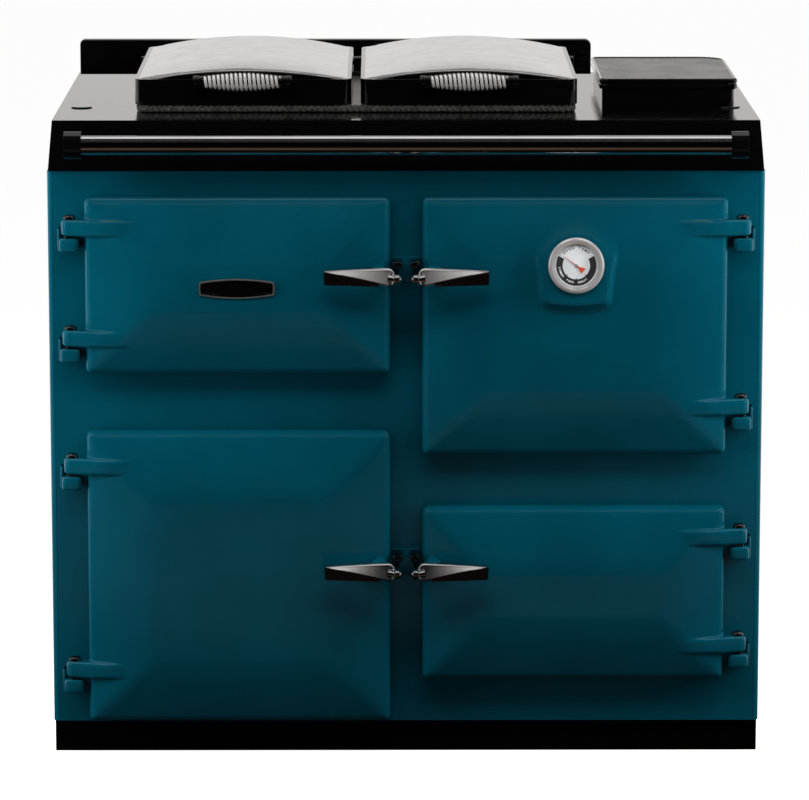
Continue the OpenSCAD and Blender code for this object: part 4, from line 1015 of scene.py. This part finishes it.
for side, mid_x in LIDS.items():
    dome(side, mid_x)
    coil(side, mid_x)
    grip(side, mid_x)

# ---- rail, upstand


def rail():
    """The tube with its rounded outer ends and its bore."""
    outer_r, bore_r, end = 13.5, 11.5, 459
    profile = [(13, -end), *((outer_r, x) for x in (-458.4, -300, -100, 100, 300, 458.4)), (13, end)]
    profile += [(bore_r, end), (bore_r, -end), (13, -end)]
    shell = Shell().add(*lathe(profile, (0, -330, 878), (1, 0, 0), 64, caps=False))
    give(shell.object("rail_tube"), "cooker_body", "chrome", "handrail")


def upstand():
    """The low wall along the rear of the top, its upper corners and edges rounded."""
    low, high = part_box("upstand")
    x0, y0, z0, x1, y1, z1 = (c / MM for c in (*low, *high))
    corners = [(x1 - 9, z1 - 9, 9, 0), (x0 + 7, z1 - 7, 7, 90)]
    sections = [(y0, 2.2), (y0 + 0.3, 1.3), (y0 + 0.9, 0.6), (y0 + 2, 0)]
    sections += [(y1 - 2, 0), (y1 - 0.9, 0.6), (y1, 2.2)]
    rings = []
    for y, inset in sections:
        ring = [(x0 + inset, y, z0), (x1 - inset, y, z0)]
        for cx, cz, r, start in corners:
            for i in range(9):
                turn = math.radians(start + 90 * i / 8)
                ring.append((cx + (r - inset) * math.cos(turn), y, cz + (r - inset) * math.sin(turn)))
        rings.append(ring)
    piece = Shell().add(*loft(rings)).object("rear_upstand")
    give(piece, "cooker_body", "black_enamel", "upstand")
    piece.visible_glossy = False  # the top in front of it mirrors the pale room, not this wall


rail()
upstand()

# ---- control cover


def cover_rings(layers):
    """The cover's outline from above, at each (inset, height), with one large rear right corner."""
    rings = []
    for inset, z in layers:
        x0, x1, y0, y1 = 277 + inset, 474 - inset, -84 + inset, 214 - inset
        corners = ((x1, y0, 12, -90), (x1, y1, 40, 0), (x0, y1, 12, 90), (x0, y0, 12, 180))
        ring = []
        for cx, cy, radius, start in corners:
            r = max(1.5, radius - inset)
            sx = -1 if cx == x1 else 1
            sy = -1 if cy == y1 else 1
            for i in range(13):
                turn = math.radians(start + 90 * i / 12)
                ring.append((cx + sx * r + r * math.cos(turn), cy + sy * r + r * math.sin(turn), z))
        rings.append(ring)
    return rings


def control_lid():
    layers = [(2, 927), (0.5, 927.3), (0, 928.2), (0, 932), (0.3, 933), (1.4, 933.9), (1.4, 934.6)]
    layers += [(0.3, 935.4), (0, 936.4), (0, 938.8), (0.5, 940.4), (1.4, 941.5), (2.7, 942)]
    layers += [(4, 941.6), (4.8, 940.8), (5.2, 940)]
    shell = Shell().add(*loft(cover_rings(layers)))
    shell.add(*rounded_block(460, 470, -90, -76, 927.2, 936, 2.5, 1.5))
    shell.add(*rounded_block(320.5, 410.5, 204, 222, 926, 935, 2.5, 1.5))
    knuckle = [(0, 320), (5.5, 320), (6, 320.5), (6, 410.5), (5.5, 411), (0, 411)]
    shell.add(*lathe(knuckle, (0, 221, 930), (1, 0, 0), 32))
    give(shell.object("control_lid", 40), "cover", "black_enamel", "control_cover")
    panel = cover_rings([(5, 939.4), (5, 940.4), (5.5, 940.8), (30, 940.9)])
    panel = Shell().add(*loft(panel)).object("control_lid_panel")
    give(panel, "cover", "cover_panel", slot="black_enamel")


control_lid()

# ---- carried CAD nodes

SHARP = math.radians(38)


def smooth_group():
    """Shades a mesh smooth and marks its sharp edges by angle."""
    group = bpy.data.node_groups.new("smooth_by_angle", "GeometryNodeTree")
    for way in ("INPUT", "OUTPUT"):
        group.interface.new_socket("Geometry", in_out=way, socket_type="NodeSocketGeometry")
    n = Nodes(group)
    start = n.add("NodeGroupInput")
    end = n.add("NodeGroupOutput")
    angle = n.add("GeometryNodeInputMeshEdgeAngle").outputs["Unsigned Angle"]
    wide = n.add("FunctionNodeCompare", {0: angle, 1: SHARP}, operation="GREATER_THAN").outputs[0]
    kind = "GeometryNodeSetShadeSmooth"
    faces = {"Geometry": start.outputs[0], "Shade Smooth": True}
    faces = n.add(kind, faces, domain="FACE").outputs[0]
    edges = {"Geometry": faces, "Selection": wide, "Shade Smooth": False}
    n.tree.links.new(n.add(kind, edges, domain="EDGE").outputs[0], end.inputs[0])
    return group


SMOOTH = smooth_group()


def soften(node, finish, width):
    """Welds a CAD node's mesh, rounds its edges and gives it its finish."""
    piece = nodes[node]
    modifier = piece.modifiers.new
    modifier("weld", "WELD").merge_threshold = 0.00002
    planar = modifier("planar", "DECIMATE")
    planar.decimate_type = "DISSOLVE"
    planar.angle_limit = math.radians(3)
    bevel = modifier("edges", "BEVEL")
    bevel.width = width * MM
    bevel.segments = 3
    bevel.limit_method = "ANGLE"
    bevel.angle_limit = SHARP
    modifier("smooth", "NODES").node_group = SMOOTH
    normals = modifier("normals", "WEIGHTED_NORMAL")
    normals.keep_sharp = True
    normals.weight = 60
    for slot in piece.material_slots:
        slot.material = FINISHES[finish]


# finish, edge width and nodes
CARRIED = [
    ("black_enamel", 1.5, "plinth"),
    ("plain_steel", 0.6, "base_frame"),
    ("plain_steel", 0.5, "levelling_feet back_panel"),
    ("teal_enamel", 0.8, "front_plate side_panels"),
    ("black_top", 2, "top_plate"),
    ("machined_iron", 1.2, "hotplate"),
    ("mineral_wool", 2, "insulation"),
    ("oven_iron", 1.5, "main_oven lower_oven firebox firebox_crown"),
    ("plain_steel", 0.4, "oven_shelves"),
    ("burner_casting", 1, "burner"),
    ("oven_iron", 1, "flue_duct flue_box flue_socket"),
    ("brass", 0.6, "water_connections"),
    ("brass", 0.5, "service_inlets"),
    ("insulated_panel", 1.5, "firebox_door_liner main_oven_door_liner burner_door_liner"),
    ("insulated_panel", 1.5, "lower_oven_door_liner lid_liner_left lid_liner_right"),
    ("black_enamel", 5, "rail_brackets"),
    ("glass", 0.3, "thermometer_glass"),
    ("black_enamel_iron", 2.2, "lid_frame_left lid_frame_right"),
    ("black_enamel", 1.2, "lid_hinges"),
    ("black_enamel", 1.4, "control_housing"),
    ("black_plastic", 0.8, "knob_front knob_rear"),
    ("red_plastic", 0.6, "power_switch"),
]
for finish, width, names in CARRIED:
    for node in names.split():
        soften(node, finish, width)

# ---- floor, world, lamps, camera

WHITE = (1, 1, 1, 1)


def floor():
    """White to the camera, grey to the light; reflections see it dark in front and pale behind."""
    reach = 30
    mesh = bpy.data.meshes.new("floor")
    corners = [(-reach, -reach, 0), (reach, -reach, 0), (reach, reach, 0), (-reach, reach, 0)]
    mesh.from_pydata(corners, [], [(0, 1, 2, 3)])
    placed("floor", mesh)
    material = bpy.data.materials.new("floor")
    material.use_nodes = True
    n = Nodes(material.node_tree)
    out = n.add("ShaderNodeOutputMaterial")
    base = n.add("ShaderNodeBsdfDiffuse", {"Color": (0.55, 0.54, 0.53, 1)})
    glow = n.add("ShaderNodeEmission", {"Color": WHITE, "Strength": 0.96})
    seen = n.add("ShaderNodeAddShader", {0: base.outputs[0], 1: glow.outputs[0]})
    place = n.add("ShaderNodeSeparateXYZ", {0: n.add("ShaderNodeTexCoord").outputs["Object"]})
    y = place.outputs[1]
    depth = n.span(y, -0.28, 0.6, smooth=True)
    away = n.span(y, -2.4, -2.2, smooth=True)
    close = n.span(y, -1.12, -1, 1, 0.03, smooth=True)
    near = n.blend(n.math("MULTIPLY", away, close), (0.003, 0.002, 0.002), (0.085, 0.056, 0.041))
    tone = n.blend(depth, near, (0.92, 0.91, 0.90))
    mirrored = n.add("ShaderNodeEmission", {"Color": tone, "Strength": 1})
    dull = n.add("ShaderNodeBsdfDiffuse", {"Color": (0.12, 0.118, 0.115, 1)})
    n.by_ray(seen, mirrored, dull, out)
    material.cycles.emission_sampling = "NONE"
    mesh.materials.append(material)


def world():
    """White to the camera, a studio to reflections, an even light to the rest."""
    sky = bpy.data.worlds.new("studio")
    scene.world = sky
    sky.use_nodes = True
    sky.cycles.sampling_method = "NONE"
    n = Nodes(sky.node_tree)
    out = n.add("ShaderNodeOutputWorld")
    way = n.add("ShaderNodeSeparateXYZ", {0: n.add("ShaderNodeTexCoord").outputs["Generated"]})
    x, y, z = way.outputs
    across = n.math("ABSOLUTE", x)

    def both(a, b):
        return n.math("MULTIPLY", a, b)

    def most(a, b):
        return n.math("MAXIMUM", a, b)

    behind = both(n.span(y, -0.05, 0.30, smooth=True), n.span(z, 0.185, 0.31, 0.90, 0.38))
    overhead = both(n.span(y, 0, 0.10, smooth=True), n.span(z, 0.72, 0.86, smooth=True))
    panels = both(n.span(z, 0.70, 0.90, smooth=True), n.span(across, 0.09, 0.17, smooth=True))
    ahead = both(n.span(y, -0.9, -0.4, smooth=True), n.span(z, 0.45, 0.75, smooth=True))
    sides = n.span(across, 0.72, 0.96, smooth=True)
    level = most(most(behind, overhead), both(panels, 0.78))
    level = most(most(level, both(ahead, 0.035)), both(sides, 0.50))
    tone = n.blend(level, (0.0015, 0.0013, 0.0013), (1, 0.985, 0.975))
    studio = n.add("ShaderNodeBackground", {"Color": tone, "Strength": 1})
    even_light = n.add("ShaderNodeBackground", {"Color": WHITE, "Strength": 0.03})
    white = n.add("ShaderNodeBackground", {"Color": WHITE, "Strength": 1})
    n.by_ray(white, studio, even_light, out)


def lamp(name, place, target, size, power):
    """A soft box that lights the object but isn't seen or mirrored."""
    data = bpy.data.lights.new(name, "AREA")
    data.shape = "RECTANGLE"
    data.size, data.size_y = size
    data.energy = power
    piece = placed(name, data)
    piece.location = place
    piece.rotation_euler = (Vector(target) - Vector(place)).to_track_quat("-Z", "Y").to_euler()
    piece.visible_camera = False
    piece.visible_glossy = False


def camera():
    data = bpy.data.cameras.new("camera")
    data.lens = 207.02
    data.sensor_width = 36
    data.clip_end = 100
    piece = placed("camera", data)
    piece.location = (-0.0337, -6.6907, 1.6817)
    pitch, yaw = math.radians(10.336), math.radians(-0.28)
    level = math.cos(pitch)
    forward = Vector((-math.sin(yaw) * level, math.cos(yaw) * level, -math.sin(pitch)))
    piece.rotation_euler = forward.to_track_quat("-Z", "Y").to_euler()
    scene.camera = piece


floor()
world()
lamp("left_box", (-1.12, -0.53, 0.72), (-0.30, -0.33, 0.62), (0.18, 1.1), 15.5)
lamp("right_box", (1.12, -0.53, 0.80), (0.30, -0.33, 0.72), (0.18, 0.9), 14.5)
lamp("near_box", (0, -1.12, 1.60), (0, -0.3, 0.60), (1.9, 0.35), 15)
lamp("top_box", (0, -0.9, 2.3), (0, 0, 0.8), (1.8, 0.8), 6)
lamp("front_fill", (0, -4.2, 0.9), (0, -0.2, 0.8), (2.6, 0.5), 13)
camera()

scene.view_settings.view_transform = "Standard"

bpy.context.view_layer.update()
